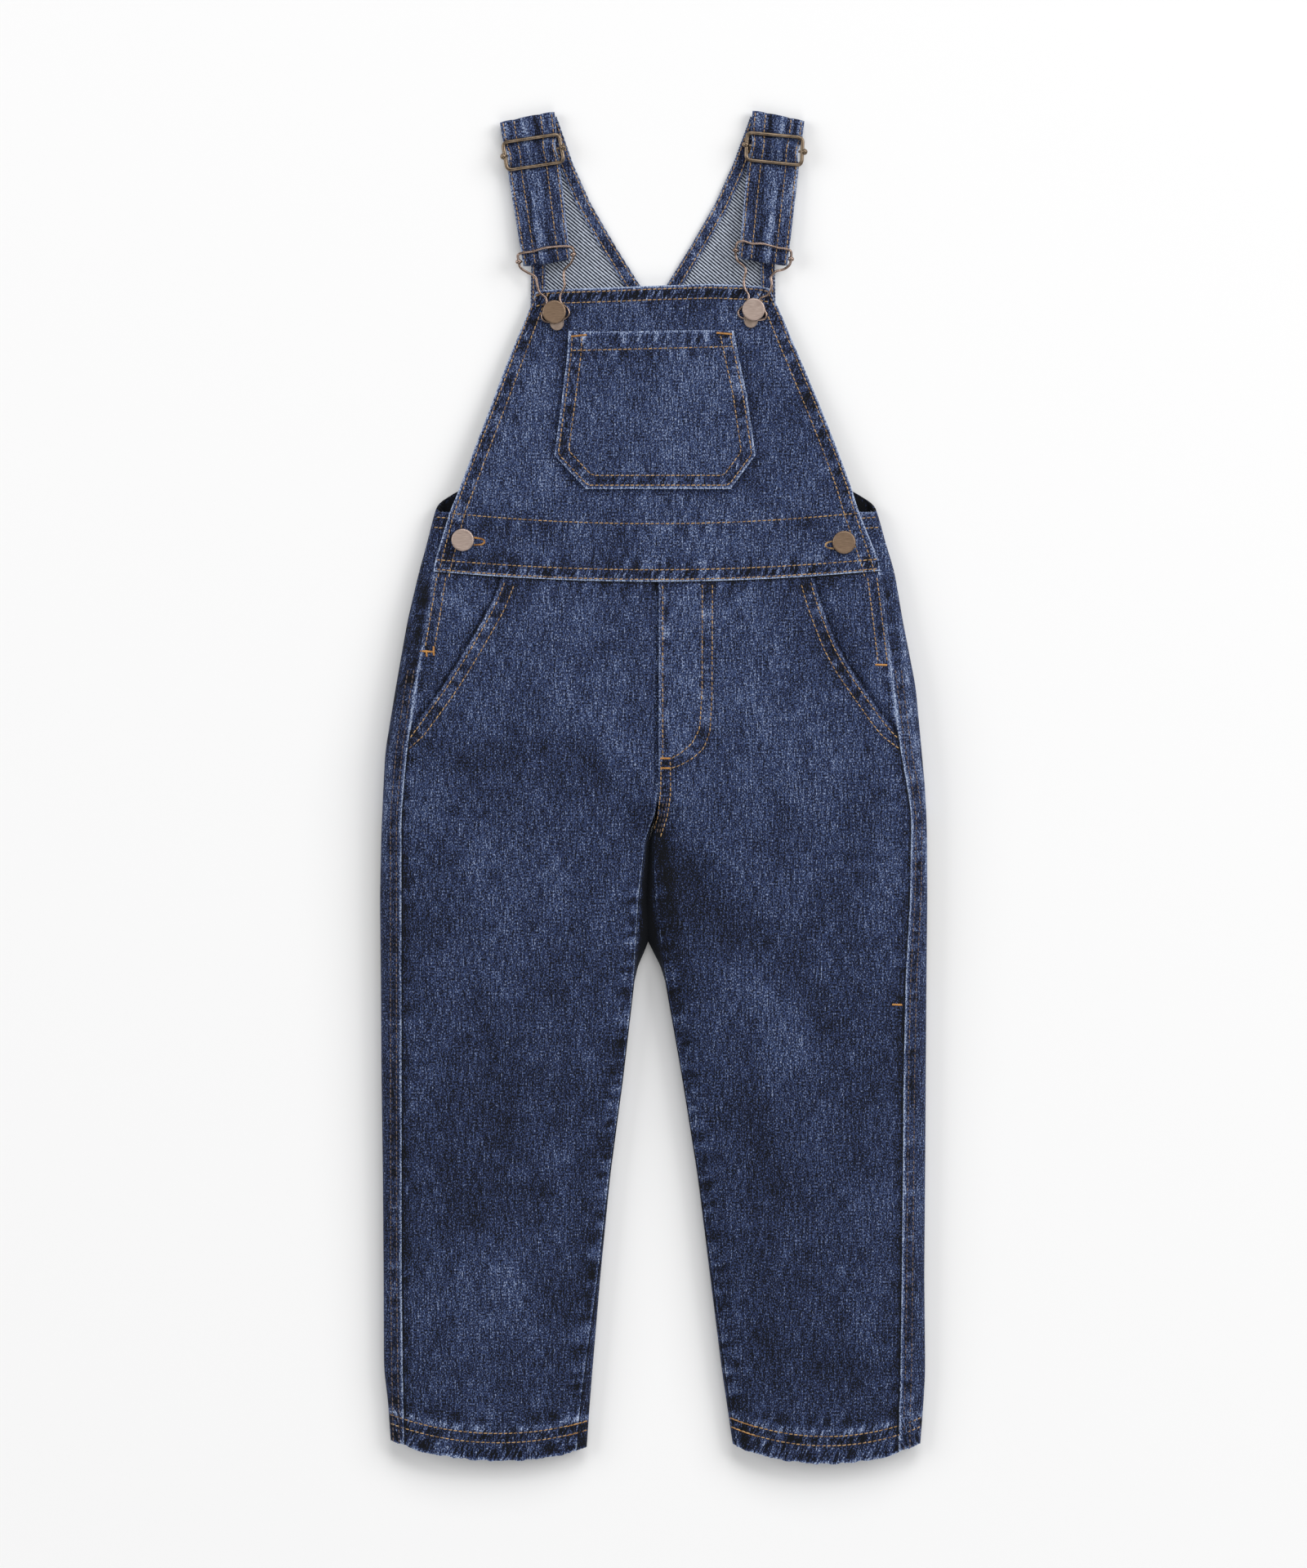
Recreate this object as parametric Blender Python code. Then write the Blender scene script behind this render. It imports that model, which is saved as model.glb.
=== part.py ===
"""Child's bib-and-brace dungarees in denim, laid flat and face up.

Metres, +Z up, top of the garment towards +Y, laid on the floor at z = 0. Sizes below are in
millimetres and are turned into metres in one place. Each half is written once, as distances out
from the centre line, and `side` is -1 for the half at -X and +1 for the half at +X.
"""

import math
from collections import namedtuple

import bpy
import numpy as np

MM = 0.001

# Cloth and seams
CLOTH = 1.2
HEM_EXTRA = 1.0
HEM_DEPTH = 12.0
GAP = 0.4
SIDE_GAP = 1.3
SEAM_GAP = 0.6
INSEAM_GAP = 0.9
LAP = 2.2
STRAP_CLOTH = 1.6

# Soft rounding of the sides, from above and from below
TOP_ROUND = 46.0
BACK_WRAP = 0.45

# Lines across the body
WAIST = 125.4
WAIST_DROP = 6.5
WAIST_HALF = 135.0
HEM_LINE = -402.0
HEM_BOW = {-1: 9.5, 1: 11.5}
HEM_TILT = {-1: 2.0, 1: 0.0}
BIB_TOP = 306.5
BAND_TOP = 168.5
CROTCH_FROM = 0.0
CROTCH_TO = -27.0
FLY_LINE = 3.2
FLY_LAP = 7.0

Half = namedtuple("Half", "y outer outseam inner inseam_in crown")
LEFT = [
    Half(310.0, 84.0, 82.0, -3.2, 0.6, 7.0),
    Half(168.5, 134.0, 126.0, -3.2, 0.6, 17.0),
    Half(150.0, 138.5, 130.0, -3.2, 0.6, 18.5),
    Half(132.0, 143.5, 133.5, -3.2, 0.6, 20.0),
    Half(102.0, 150.5, 138.0, -3.2, 0.6, 23.0),
    Half(62.0, 157.5, 145.0, -3.2, 0.6, 26.0),
    Half(22.0, 164.0, 150.5, -3.2, 0.6, 28.0),
    Half(0.0, 165.2, 152.5, -3.2, 0.6, 28.0),
    Half(-18.0, 166.0, 154.0, -1.4, 0.6, 27.0),
    Half(-29.0, 166.5, 154.0, 3.9, 0.6, 26.5),
    Half(-67.0, 167.3, 154.0, 8.6, 0.6, 26.0),
    Half(-118.0, 166.8, 154.0, 11.5, 0.6, 25.0),
    Half(-178.0, 166.4, 154.0, 18.5, 0.6, 24.0),
    Half(-238.0, 165.6, 154.0, 26.5, 0.8, 23.0),
    Half(-298.0, 165.2, 154.0, 32.5, 1.6, 22.0),
    Half(-358.0, 165.0, 153.4, 37.6, 5.0, 20.0),
    Half(-378.0, 162.5, 153.0, 39.2, 6.0, 18.5),
    Half(-416.0, 160.0, 152.5, 41.8, 6.2, 16.0),
]
RIGHT = [
    Half(310.0, 83.0, 81.0, 3.2, 0.6, 7.0),
    Half(168.5, 137.0, 128.0, 3.2, 0.6, 17.0),
    Half(150.0, 142.0, 132.0, 3.2, 0.6, 18.5),
    Half(132.0, 147.5, 137.5, 3.2, 0.6, 20.0),
    Half(102.0, 152.5, 141.2, 3.2, 0.6, 23.0),
    Half(62.0, 160.3, 145.8, 3.2, 0.6, 26.0),
    Half(22.0, 164.0, 150.8, 3.2, 0.6, 28.0),
    Half(0.0, 166.0, 155.0, 3.2, 0.6, 28.0),
    Half(-18.0, 167.0, 157.6, 2.0, 0.6, 27.0),
    Half(-29.0, 167.3, 157.3, -0.4, 0.6, 26.5),
    Half(-67.0, 167.5, 156.8, 0.0, 0.6, 26.0),
    Half(-118.0, 167.0, 154.0, 7.0, 0.6, 25.0),
    Half(-178.0, 166.6, 152.8, 17.5, 0.6, 24.0),
    Half(-238.0, 166.2, 152.3, 27.0, 0.8, 23.0),
    Half(-298.0, 165.7, 151.7, 34.5, 1.2, 22.0),
    Half(-358.0, 166.3, 151.0, 42.0, 2.0, 20.0),
    Half(-378.0, 165.2, 150.2, 45.0, 2.2, 18.5),
    Half(-416.0, 162.3, 150.2, 50.5, 2.4, 16.0),
]
HALVES = {-1: LEFT, 1: RIGHT}
NAMES = {-1: "left", 1: "right"}

# Largest folds: a trough has a negative depth, a ridge a positive one
Fold = namedtuple("Fold", "x y length width depth turn")
FOLDS = [
    Fold(-88.0, 18.0, 42.0, 11.0, -2.4, 14.0),
    Fold(-30.0, 2.0, 46.0, 9.0, -2.2, -52.0),
    Fold(-48.0, 40.0, 40.0, 14.0, 1.4, -40.0),
    Fold(-117.0, -16.0, 20.0, 3.0, -1.4, -4.0),
    Fold(119.0, -43.5, 22.0, 3.0, -1.3, -3.0),
    Fold(36.0, -72.0, 58.0, 11.0, -2.2, -52.0),
    Fold(62.0, -52.0, 50.0, 13.0, 1.5, -44.0),
    Fold(84.0, -160.0, 85.0, 15.0, 1.8, -68.0),
    Fold(-104.0, -170.0, 78.0, 14.0, -1.9, -77.0),
    Fold(-66.0, -246.0, 36.0, 11.0, -1.8, 34.0),
    Fold(-100.0, -298.0, 30.0, 24.0, 1.8, 8.0),
    Fold(66.0, -222.0, 44.0, 12.0, -2.0, -62.0),
    Fold(104.0, -352.0, 40.0, 12.0, -1.7, -20.0),
    Fold(-92.0, 158.0, 34.0, 8.0, -1.4, -12.0),
    Fold(28.0, 232.0, 60.0, 20.0, 1.0, 70.0),
]

# Edge of the slant pocket's opening, out from the centre line
Slant = namedtuple("Slant", "y left right")
SLANT = [
    Slant(131.0, 90.5, 96.3),
    Slant(111.0, 98.4, 101.9),
    Slant(88.0, 111.4, 110.7),
    Slant(74.0, 119.8, 118.2),
    Slant(60.0, 128.8, 127.9),
    Slant(42.0, 142.0, 140.6),
    Slant(31.0, 150.3, 150.0),
]
POCKET_LAP = 8.0

# Bib and its patch pocket, and where the cloth's edge stands from the centre line
Band = namedtuple("Band", "y left right")
BIB = [
    Band(125.0, 134.6, 138.6),
    Band(132.0, 133.5, 137.5),
    Band(167.5, 124.5, 125.5),
    Band(184.0, 118.2, 120.8),
    Band(208.0, 109.2, 112.0),
    Band(235.0, 98.9, 101.3),
    Band(272.0, 85.2, 85.8),
    Band(290.0, 78.5, 78.6),
    Band(303.0, 73.4, 72.6),
    Band(310.0, 71.4, 70.0),
]
PATCH = [
    Band(182.3, 41.2, 47.0),
    Band(203.0, 60.5, 62.3),
    Band(241.0, 55.5, 56.8),
    Band(266.0, 52.5, 51.5),
    Band(279.0, 52.0, 49.0),
]

# Back piece above the waist: its armhole edge and its V neck, out from the centre line
BACK = [
    Band(168.5, 134.0, 138.4),
    Band(173.5, 130.0, 132.0),
    Band(178.0, 124.5, 126.5),
    Band(182.0, 119.0, 121.0),
    Band(200.0, 103.0, 104.0),
    Band(225.0, 89.5, 89.5),
    Band(255.0, 80.0, 79.5),
    Band(285.0, 75.6, 75.0),
    Band(320.0, 75.0, 74.4),
    Band(350.0, 78.6, 77.6),
    Band(385.0, 87.0, 85.0),
    Band(406.0, 91.4, 89.8),
]
NECK = [
    Band(300.0, 0.0, 0.0),
    Band(302.5, 2.8, 2.8),
    Band(308.0, 8.4, 8.0),
    Band(332.0, 23.4, 22.8),
    Band(358.5, 38.7, 38.0),
    Band(382.0, 49.2, 48.6),
    Band(405.5, 57.2, 56.6),
]
UNDERLAP = 27.0

# Strap ends: fold over the shoulder and fold round the hook's bar, out from the centre line
StrapEnd = namedtuple("StrapEnd", "outer_x outer_y inner_x inner_y")
STRAP_TOP = {-1: StrapEnd(93.8, 405.4, 60.5, 411.9), 1: StrapEnd(92.2, 406.2, 60.5, 412.6)}
STRAP_LOW = {-1: StrapEnd(79.7, 319.5, 51.0, 323.6), 1: StrapEnd(82.0, 319.8, 52.2, 324.6)}
Strap = namedtuple("Strap", "t z")
PINCH = 1.7
SLIDE = {-1: 0.0, 1: 0.02}
STRAP = [
    Strap(0.075, 1.9),
    Strap(0.03, 2.0),
    Strap(0.009, 2.7),
    Strap(0.0, 4.0),
    Strap(0.009, 5.3),
    Strap(0.035, 6.1),
    Strap(0.09, 6.2),
    Strap(0.14, 5.7),
    Strap(0.178, 7.0),
    Strap(0.225, 8.9),
    Strap(0.272, 7.1),
    Strap(0.305, 5.9),
    Strap(0.335, 5.8),
    Strap(0.40, 6.3),
    Strap(0.52, 6.6),
    Strap(0.64, 7.0),
    Strap(0.76, 7.5),
    Strap(0.86, 8.3),
    Strap(0.92, 9.7),
    Strap(0.965, 10.2),
    Strap(0.99, 9.4),
    Strap(1.0, 8.0),
    Strap(0.99, 6.6),
    Strap(0.965, 5.7),
    Strap(0.92, 5.8),
    Strap(0.80, 5.4),
    Strap(0.60, 4.7),
    Strap(0.40, 4.2),
    Strap(0.29, 4.0),
]

# Wire fittings: slider frame and hook, as points in mm out from the centre line
Point = namedtuple("Point", "x y z")
SLIDER_WIRE = 1.05
SLIDER = {
    -1: [Point(92.3, 394.7, 8.2), Point(58.0, 400.0, 8.2),
         Point(54.9, 383.0, 8.3), Point(89.5, 377.8, 8.3)],
    1: [Point(91.4, 397.8, 8.2), Point(57.6, 401.0, 8.2),
        Point(56.6, 384.3, 8.3), Point(90.6, 380.8, 8.3)],
}
HOOK_WIRE = 0.6
HOOK_UNDER = 9.8
HOOK = {
    -1: [Point(82.4, 326.2, 11.6), Point(74.0, 327.8, 11.8), Point(66.5, 330.0, 11.8),
         Point(54.0, 331.0, 11.8), Point(49.4, 329.6, 11.4), Point(48.9, 325.6, 9.6),
         Point(50.6, 321.0, 8.9), Point(54.6, 316.6, 9.2), Point(54.8, 311.0, 9.8),
         Point(54.4, 306.6, HOOK_UNDER), Point(57.0, 300.6, HOOK_UNDER), Point(56.6, 296.6, HOOK_UNDER),
         Point(52.4, 292.6, HOOK_UNDER), Point(52.4, 288.4, HOOK_UNDER), Point(59.0, 285.0, HOOK_UNDER),
         Point(66.6, 285.4, HOOK_UNDER), Point(68.2, 289.2, HOOK_UNDER), Point(65.4, 294.6, HOOK_UNDER),
         Point(66.0, 299.6, HOOK_UNDER), Point(69.8, 303.0, HOOK_UNDER), Point(71.2, 308.0, 10.0),
         Point(72.4, 312.6, 9.6), Point(77.2, 315.2, 9.2), Point(81.4, 318.2, 8.9),
         Point(82.4, 322.0, 9.6)],
    1: [Point(84.1, 323.6, 9.2), Point(84.0, 327.8, 11.2), Point(81.0, 329.4, 11.8),
        Point(76.2, 330.0, 11.8), Point(71.9, 331.2, 11.8), Point(66.2, 332.6, 11.8),
        Point(60.0, 332.6, 11.8), Point(55.3, 334.0, 11.8), Point(51.6, 333.4, 11.4),
        Point(50.3, 329.8, 9.8), Point(50.3, 326.0, 9.0), Point(51.6, 322.2, 8.9),
        Point(55.0, 319.3, 9.2), Point(56.5, 316.0, 9.6), Point(55.3, 310.0, HOOK_UNDER),
        Point(56.0, 305.0, HOOK_UNDER), Point(58.2, 301.0, HOOK_UNDER),
        Point(57.6, 297.0, HOOK_UNDER), Point(53.5, 293.2, HOOK_UNDER),
        Point(52.0, 290.5, HOOK_UNDER), Point(53.4, 287.6, HOOK_UNDER),
        Point(60.0, 286.2, HOOK_UNDER), Point(67.2, 286.4, HOOK_UNDER),
        Point(68.8, 288.2, HOOK_UNDER), Point(68.2, 291.4, HOOK_UNDER),
        Point(65.2, 295.6, HOOK_UNDER), Point(65.6, 299.4, HOOK_UNDER),
        Point(69.4, 301.2, HOOK_UNDER), Point(71.6, 304.2, HOOK_UNDER),
        Point(72.4, 308.2, 9.9), Point(71.9, 312.2, 9.6), Point(74.6, 315.6, 9.2),
        Point(79.8, 317.2, 9.0), Point(83.2, 319.8, 8.9)],
}
Bar = namedtuple("Bar", "outer_x outer_y inner_x inner_y z radius head")
SLIDER_BAR = {-1: Bar(92.8, 386.2, 54.6, 391.9, 6.8, 0.8, 1.9),
              1: Bar(93.2, 389.0, 55.8, 393.6, 6.5, 0.8, 1.9)}
HOOK_BAR = {-1: Bar(83.4, 321.6, 48.3, 326.2, 8.0, 0.6, 1.35),
            1: Bar(85.0, 323.3, 49.3, 328.8, 8.0, 0.6, 1.35)}

# Tack buttons: place out from the centre line, and the size of the cap
Tack = namedtuple("Tack", "x y cap neck")
BIB_TACK = {-1: Tack(60.7, 290.8, 7.2, 2.4), 1: Tack(61.2, 292.3, 7.0, 2.4)}
WAIST_TACK = {-1: Tack(116.5, 151.0, 6.9, 1.2), 1: Tack(116.3, 149.5, 7.1, 1.2)}
NECK_SHARE = 0.36
Ring = namedtuple("Ring", "share z")
CAP = [Ring(NECK_SHARE, 0.0), Ring(0.94, 0.2), Ring(1.0, 0.8), Ring(0.97, 1.5), Ring(0.86, 1.8),
       Ring(0.4, 1.9)]
TONGUE_HALF = 4.2
TONGUE_LONG = 8.2
TONGUE_THICK = 0.5

# Metal and cloth finishes
Finish = namedtuple("Finish", "name colour metallic roughness")
DENIM = Finish("denim", (0.045, 0.078, 0.21), 0.0, 0.9)
BRASS = Finish("antique_brass", (0.36, 0.27, 0.16), 1.0, 0.38)


def smooth(t):
    """0 to 1 with level ends."""
    t = np.clip(t, 0.0, 1.0)
    return t * t * (3.0 - 2.0 * t)


def look(rows, field, y, blur=6.0):
    """A column of a table at y, with its corners softened over `blur` mm."""
    rows = sorted(rows, key=lambda row: row.y)
    ys = [row.y for row in rows]
    values = [getattr(row, field) for row in rows]
    steps = (-1.0, -0.5, 0.0, 0.5, 1.0)
    return sum(np.interp(y + step * blur, ys, values) for step in steps) / len(steps)


def relief(x, y):
    """Height of the folds at a place on top of the garment."""
    total = np.zeros(np.broadcast(x, y).shape)
    for fold in FOLDS:
        turn = math.radians(fold.turn)
        along = (x - fold.x) * math.cos(turn) + (y - fold.y) * math.sin(turn)
        across = (y - fold.y) * math.cos(turn) - (x - fold.x) * math.sin(turn)
        total = total + fold.depth * np.exp(-(along / fold.length) ** 2 - (across / fold.width) ** 2)
    return total


def closing(y):
    """0 where both halves are one trunk, 1 where each is a closed leg."""
    return smooth((CROTCH_FROM - y) / (CROTCH_FROM - CROTCH_TO))


def side_height(half, y):
    """Height of the side's outermost line."""
    return BACK_WRAP * look(half, "crown", y)


def top(side, out, y, drop=0.0):
    """Height of the upper face `out` mm from the centre line on this side, less `drop` mm of lap."""
    half = HALVES[side]
    edge, start = look(half, "outer", y), look(half, "inner", y)
    low, high = side_height(half, y), look(half, "crown", y)
    first = closing(y) * math.pi / 2
    outer = np.sqrt(1.0 - (1.0 - np.clip((edge - out) / TOP_ROUND, 0.0, 1.0)) ** 2)
    turn = np.clip(np.sin(first) - np.clip(out - start, 0.0, None) / TOP_ROUND, 0.0, 1.0)
    inner = np.sqrt(1.0 - turn ** 2)
    lift = outer * inner
    return low + (high - low + relief(side * out, y)) * lift - drop * np.clip(lift * 3.0, 0.0, 1.0)


def waist_line(out, y=WAIST):
    """The waist seam's y where it stands `out` mm from the centre line."""
    return y + WAIST_DROP * (out / WAIST_HALF) ** 2


def eased(count, ease=0.05):
    """Shares 0 to 1, close together near 0 where the surface turns down."""
    t = np.linspace(0.0, 1.0, count)
    return (np.sqrt(t * t + ease * ease) - ease) / (math.sqrt(1.0 + ease * ease) - ease)


def leg_rows(upper, count):
    """The rows' y down the leg from `upper` to the hem, with two close rows at the hem."""
    body = np.linspace(upper, HEM_LINE + HEM_DEPTH, count - 2)
    return np.concatenate([body, [HEM_LINE + HEM_DEPTH - 3.0, HEM_LINE]])


def hem_bow(side, out, y):
    """How far the row sinks where the hem's edge is bowed."""
    inner, outer = look(HALVES[side], "inner", y), look(HALVES[side], "outer", y)
    place = (2.0 * out - inner - outer) / (outer - inner)
    place = np.clip(place, -1.0, 1.0)
    sink = smooth((y + 200.0) / (HEM_LINE + 200.0))
    return sink * (HEM_BOW[side] * (1.0 - place ** 2) - HEM_TILT[side] * place)


def grid_quads(rows, columns, first=0):
    """Quads of a grid whose points run along each row."""
    quads = []
    for i in range(rows - 1):
        for j in range(columns - 1):
            a = first + i * columns + j
            quads.append((a, a + columns, a + columns + 1, a + 1))
    return quads


def joined(pieces):
    """One list of points and quads from several grids, with shared points made one."""
    kept, index, quads = np.empty((0, 4)), [], []
    for grid, extra in pieces:
        rows, columns = grid.shape[:2]
        quads += grid_quads(rows, columns, len(index))
        own = np.concatenate([grid.reshape(-1, 3), extra.reshape(-1, 1)], axis=1)
        before = len(kept)
        fresh = []
        for point in own:
            near = np.linalg.norm(kept[:before, :3] - point[:3], axis=1) if before else np.ones(1)
            if near.min() < 0.05:
                index.append(int(near.argmin()))
            else:
                index.append(before + len(fresh))
                fresh.append(point)
        kept = np.concatenate([kept, np.array(fresh)])
    quads = [tuple(index[i] for i in quad) for quad in quads]
    return kept, [quad for quad in quads if len(set(quad)) == 4]


def face_normals(points, quads):
    """Unit normal at each point, from the quads round it."""
    normals = np.zeros_like(points)
    for quad in quads:
        a, b, c, d = points[list(quad)]
        normal = np.cross(c - a, d - b)
        normals[list(quad)] += normal / max(np.linalg.norm(normal), 1e-9)
    return normals / np.maximum(np.linalg.norm(normals, axis=1, keepdims=True), 1e-9)


def collection_of(name, hidden=False):
    """A collection in the scene."""
    found = bpy.data.collections.new(name)
    bpy.context.scene.collection.children.link(found)
    found.hide_render = hidden
    return found


def material_of(finish):
    """A Principled material of this finish, made once for each piece."""
    material = bpy.data.materials.new(finish.name)
    material.use_nodes = True
    shader = material.node_tree.nodes["Principled BSDF"]
    shader.inputs["Base Color"].default_value = (*finish.colour, 1.0)
    shader.inputs["Metallic"].default_value = finish.metallic
    shader.inputs["Roughness"].default_value = finish.roughness
    return material


def add_node(collection, name, points, faces, finish):
    """One named solid from points in mm."""
    mesh = bpy.data.meshes.new(name)
    mesh.from_pydata([tuple(float(v) * MM for v in p[:3]) for p in points], [], faces)
    mesh.validate()
    piece = bpy.data.objects.new(name, mesh)
    piece.data.materials.append(material_of(finish))
    collection.objects.link(piece)
    return piece


def add_cloth(collection, name, pieces, under=CLOTH, over=0.0):
    """Cloth of one thickness below its outer face, and thicker by each point's own extra."""
    kept, quads = joined(pieces)
    face, extra = kept[:, :3], kept[:, 3:4]
    normals = face_normals(face, quads)
    outer = face + normals * over
    inner = face - normals * (under + extra)
    count = len(face)
    edges = {}
    for quad in quads:
        for a, b in zip(quad, quad[1:] + quad[:1]):
            if (b, a) in edges:
                del edges[(b, a)]
            else:
                edges[(a, b)] = True
    faces = list(quads) + [tuple(i + count for i in reversed(quad)) for quad in quads]
    faces += [(b, a, a + count, b + count) for a, b in edges]
    points = np.concatenate([outer, inner])
    points[:, 2] = np.maximum(points[:, 2], 0.0)
    return add_node(collection, name, points, faces, DENIM)


def oriented(grid, side):
    """The grid with its rows turned so that the outer face looks out."""
    return grid if side < 0 else grid[:, ::-1]


def front_leg(collection, side):
    """Front panel from the waist seam to the hem, cut away along the slant pocket's edge."""
    half, name = HALVES[side], NAMES[side]
    rows, columns = 36, 13
    y = leg_rows(WAIST - GAP, rows)[:, None]
    share = eased(columns)[None, :]
    cut = look(SLANT, name, y, 2.0)
    seam = look(half, "outseam", y)
    edge = np.where(y > SLANT[-1].y, np.minimum(cut, seam), seam) - SEAM_GAP
    lap = FLY_LAP * smooth((y - 2.0) / 10.0) if side < 0 else 0.0 * y
    start = look(half, "inner", y) + (look(half, "inseam_in", y) + INSEAM_GAP) * closing(y) - lap
    start = start + GAP / 2
    out = start + (edge - start) * share
    rise = (waist_line(out) - WAIST) * smooth((y - 20.0) / (WAIST - 20.0))
    y = y + rise - hem_bow(side, out, y)
    drop = LAP * smooth((4.0 - out) / 6.0) * smooth((y + 8.0) / 12.0) if side < 0 else 0.0
    z = top(side, out, y, drop)
    grid = np.stack(np.broadcast_arrays(side * out, y, z), axis=2)
    hem = HEM_EXTRA * smooth((HEM_LINE + HEM_DEPTH - np.broadcast_to(
        leg_rows(WAIST - GAP, rows)[:, None], out.shape)) / 2.0)
    return add_cloth(collection, f"front_leg_{name}", [(oriented(grid, -side), oriented(hem, -side))])


def wrap_columns(side, y, start_in, end_in, under_end):
    """Section from a line on top of the side, round it and along the floor, then up the inside.

    It takes the rows' y, how far in from the side the top line stands, how far in from the inner
    edge the last line stands, and the share of the inside turn that is made.
    """
    half = HALVES[side]
    edge, low = look(half, "outer", y), side_height(half, y)
    inner = under_end * look(half, "inner", y) + (1.0 - under_end) * GAP / 2
    columns = []
    first = np.arccos(np.clip(1.0 - start_in / TOP_ROUND, 0.0, 1.0))
    for share in (1.0, 0.7, 0.35, 0.12):
        turn = first * share
        out = edge - TOP_ROUND * (1.0 - np.cos(turn))
        columns.append((out, top(side, out, y)))
    for share in (1.0, 0.66, 0.33, 0.0):
        turn = share * math.pi / 2
        columns.append((edge - low * (1.0 - np.sin(turn)), low * (1.0 - np.cos(turn))))
    last = under_end * math.pi / 2
    foot = inner + low * np.sin(last)
    for share in (0.72, 0.5, 0.28, 0.0):
        columns.append((foot + (edge - low - foot) * share, 0.0 * y))
    for share in (0.4, 0.75, 1.0):
        turn = share * last
        columns.append((inner + low * (np.sin(last) - np.sin(turn)), low * (1.0 - np.cos(turn))))
    out = inner + np.maximum(end_in, 0.05) * under_end
    lift = np.where(under_end > 0.999, top(side, out, y), columns[-1][1] + 0.4 * under_end)
    columns.append((out, np.maximum(lift, columns[-1][1] + 0.4 * under_end)))
    return columns


def back_leg(collection, side):
    """Back panel: from the outseam, round the side, under the leg and up to the inseam."""
    half, name = HALVES[side], NAMES[side]
    y = leg_rows(WAIST + WAIST_DROP - GAP, 32)[:, None]
    start_in = look(half, "outer", y) - look(half, "outseam", y) - GAP / 2
    end_in = look(half, "inseam_in", y) - GAP / 2
    columns = wrap_columns(side, y, start_in, end_in, closing(y))
    out = np.concatenate([c[0] for c in columns], axis=1)
    z = np.concatenate([c[1] + 0.0 * y for c in columns], axis=1)
    y = y - hem_bow(side, out, y)
    grid = np.stack(np.broadcast_arrays(side * out, y, z), axis=2)
    base = leg_rows(WAIST + WAIST_DROP - GAP, 32)[:, None]
    hem = HEM_EXTRA * smooth((HEM_LINE + HEM_DEPTH - np.broadcast_to(base, out.shape)) / 2.0)
    grid, hem = oriented(grid, -side), oriented(hem, -side)
    return add_cloth(collection, f"back_leg_{name}", [(grid, hem)])


def hip_side(collection, side):
    """Hip piece that shows in the pocket's opening, tucked under the front panel's slant edge."""
    half, name = HALVES[side], NAMES[side]
    y = np.linspace(WAIST - GAP, SLANT[-1].y + 2.0, 10)[:, None]
    slant = look(SLANT, name, y, 2.0)
    seam = look(half, "outseam", y) - SIDE_GAP
    share = np.linspace(0.0, 1.0, 7)[None, :]
    start = np.minimum(slant, seam - 1.0) - POCKET_LAP
    out = start + (seam - start) * share
    y = y + (waist_line(out) - WAIST) * smooth((y - 20.0) / (WAIST - 20.0))
    free = smooth((out - slant) / POCKET_LAP) * smooth((seam - slant - 2.0) / 6.0)
    z = top(side, out, y, LAP * (1.0 - free))
    grid = np.stack(np.broadcast_arrays(side * out, y, z), axis=2)
    return add_cloth(collection, f"hip_side_{name}", [(oriented(grid, -side), 0.0 * z)])


def bib_grid(rows, columns):
    """Points of the bib's outer face, from its waist seam to its top hem."""
    y = np.linspace(WAIST + GAP, BIB_TOP, rows)[:, None]
    share = np.linspace(-1.0, 1.0, columns)[None, :]
    left, right = look(BIB, "left", y), look(BIB, "right", y)
    x = np.where(share < 0.0, share * left, share * right)
    near_waist = 1.0 - smooth((y - WAIST) / 60.0)
    y = y + (waist_line(x) - WAIST) * near_waist
    z = np.where(x < 0.0, top(-1, -x, y), top(1, x, y))
    return np.stack(np.broadcast_arrays(x, y, z), axis=2)


def bib(collection):
    """Bib with its waistband, wide at the waist and narrow at the top."""
    grid = bib_grid(15, 17)
    hem = HEM_EXTRA * smooth((grid[:, :, 1] - BIB_TOP + 12.0) / 3.0)
    return add_cloth(collection, "bib", [(grid[::-1], hem[::-1])])


def patch_pocket(collection):
    """Pocket on the bib with cut lower corners, made from the bib's points and moved out."""
    y = np.array([279.5, 271.0, 266.0, 250.0, 234.0, 218.0, 203.5, 192.5, 182.5])[:, None]
    share = np.linspace(-1.0, 1.0, 9)[None, :]
    x = np.where(share < 0, share * look(PATCH, "left", y, 0.5), share * look(PATCH, "right", y, 0.5))
    z = np.where(x < 0.0, top(-1, -x, y), top(1, x, y)) + LAP
    grid = np.stack(np.broadcast_arrays(x, y, z), axis=2)
    return add_cloth(collection, "bib_pocket", [(grid, 0.0 * grid[:, :, 0])])


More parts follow.
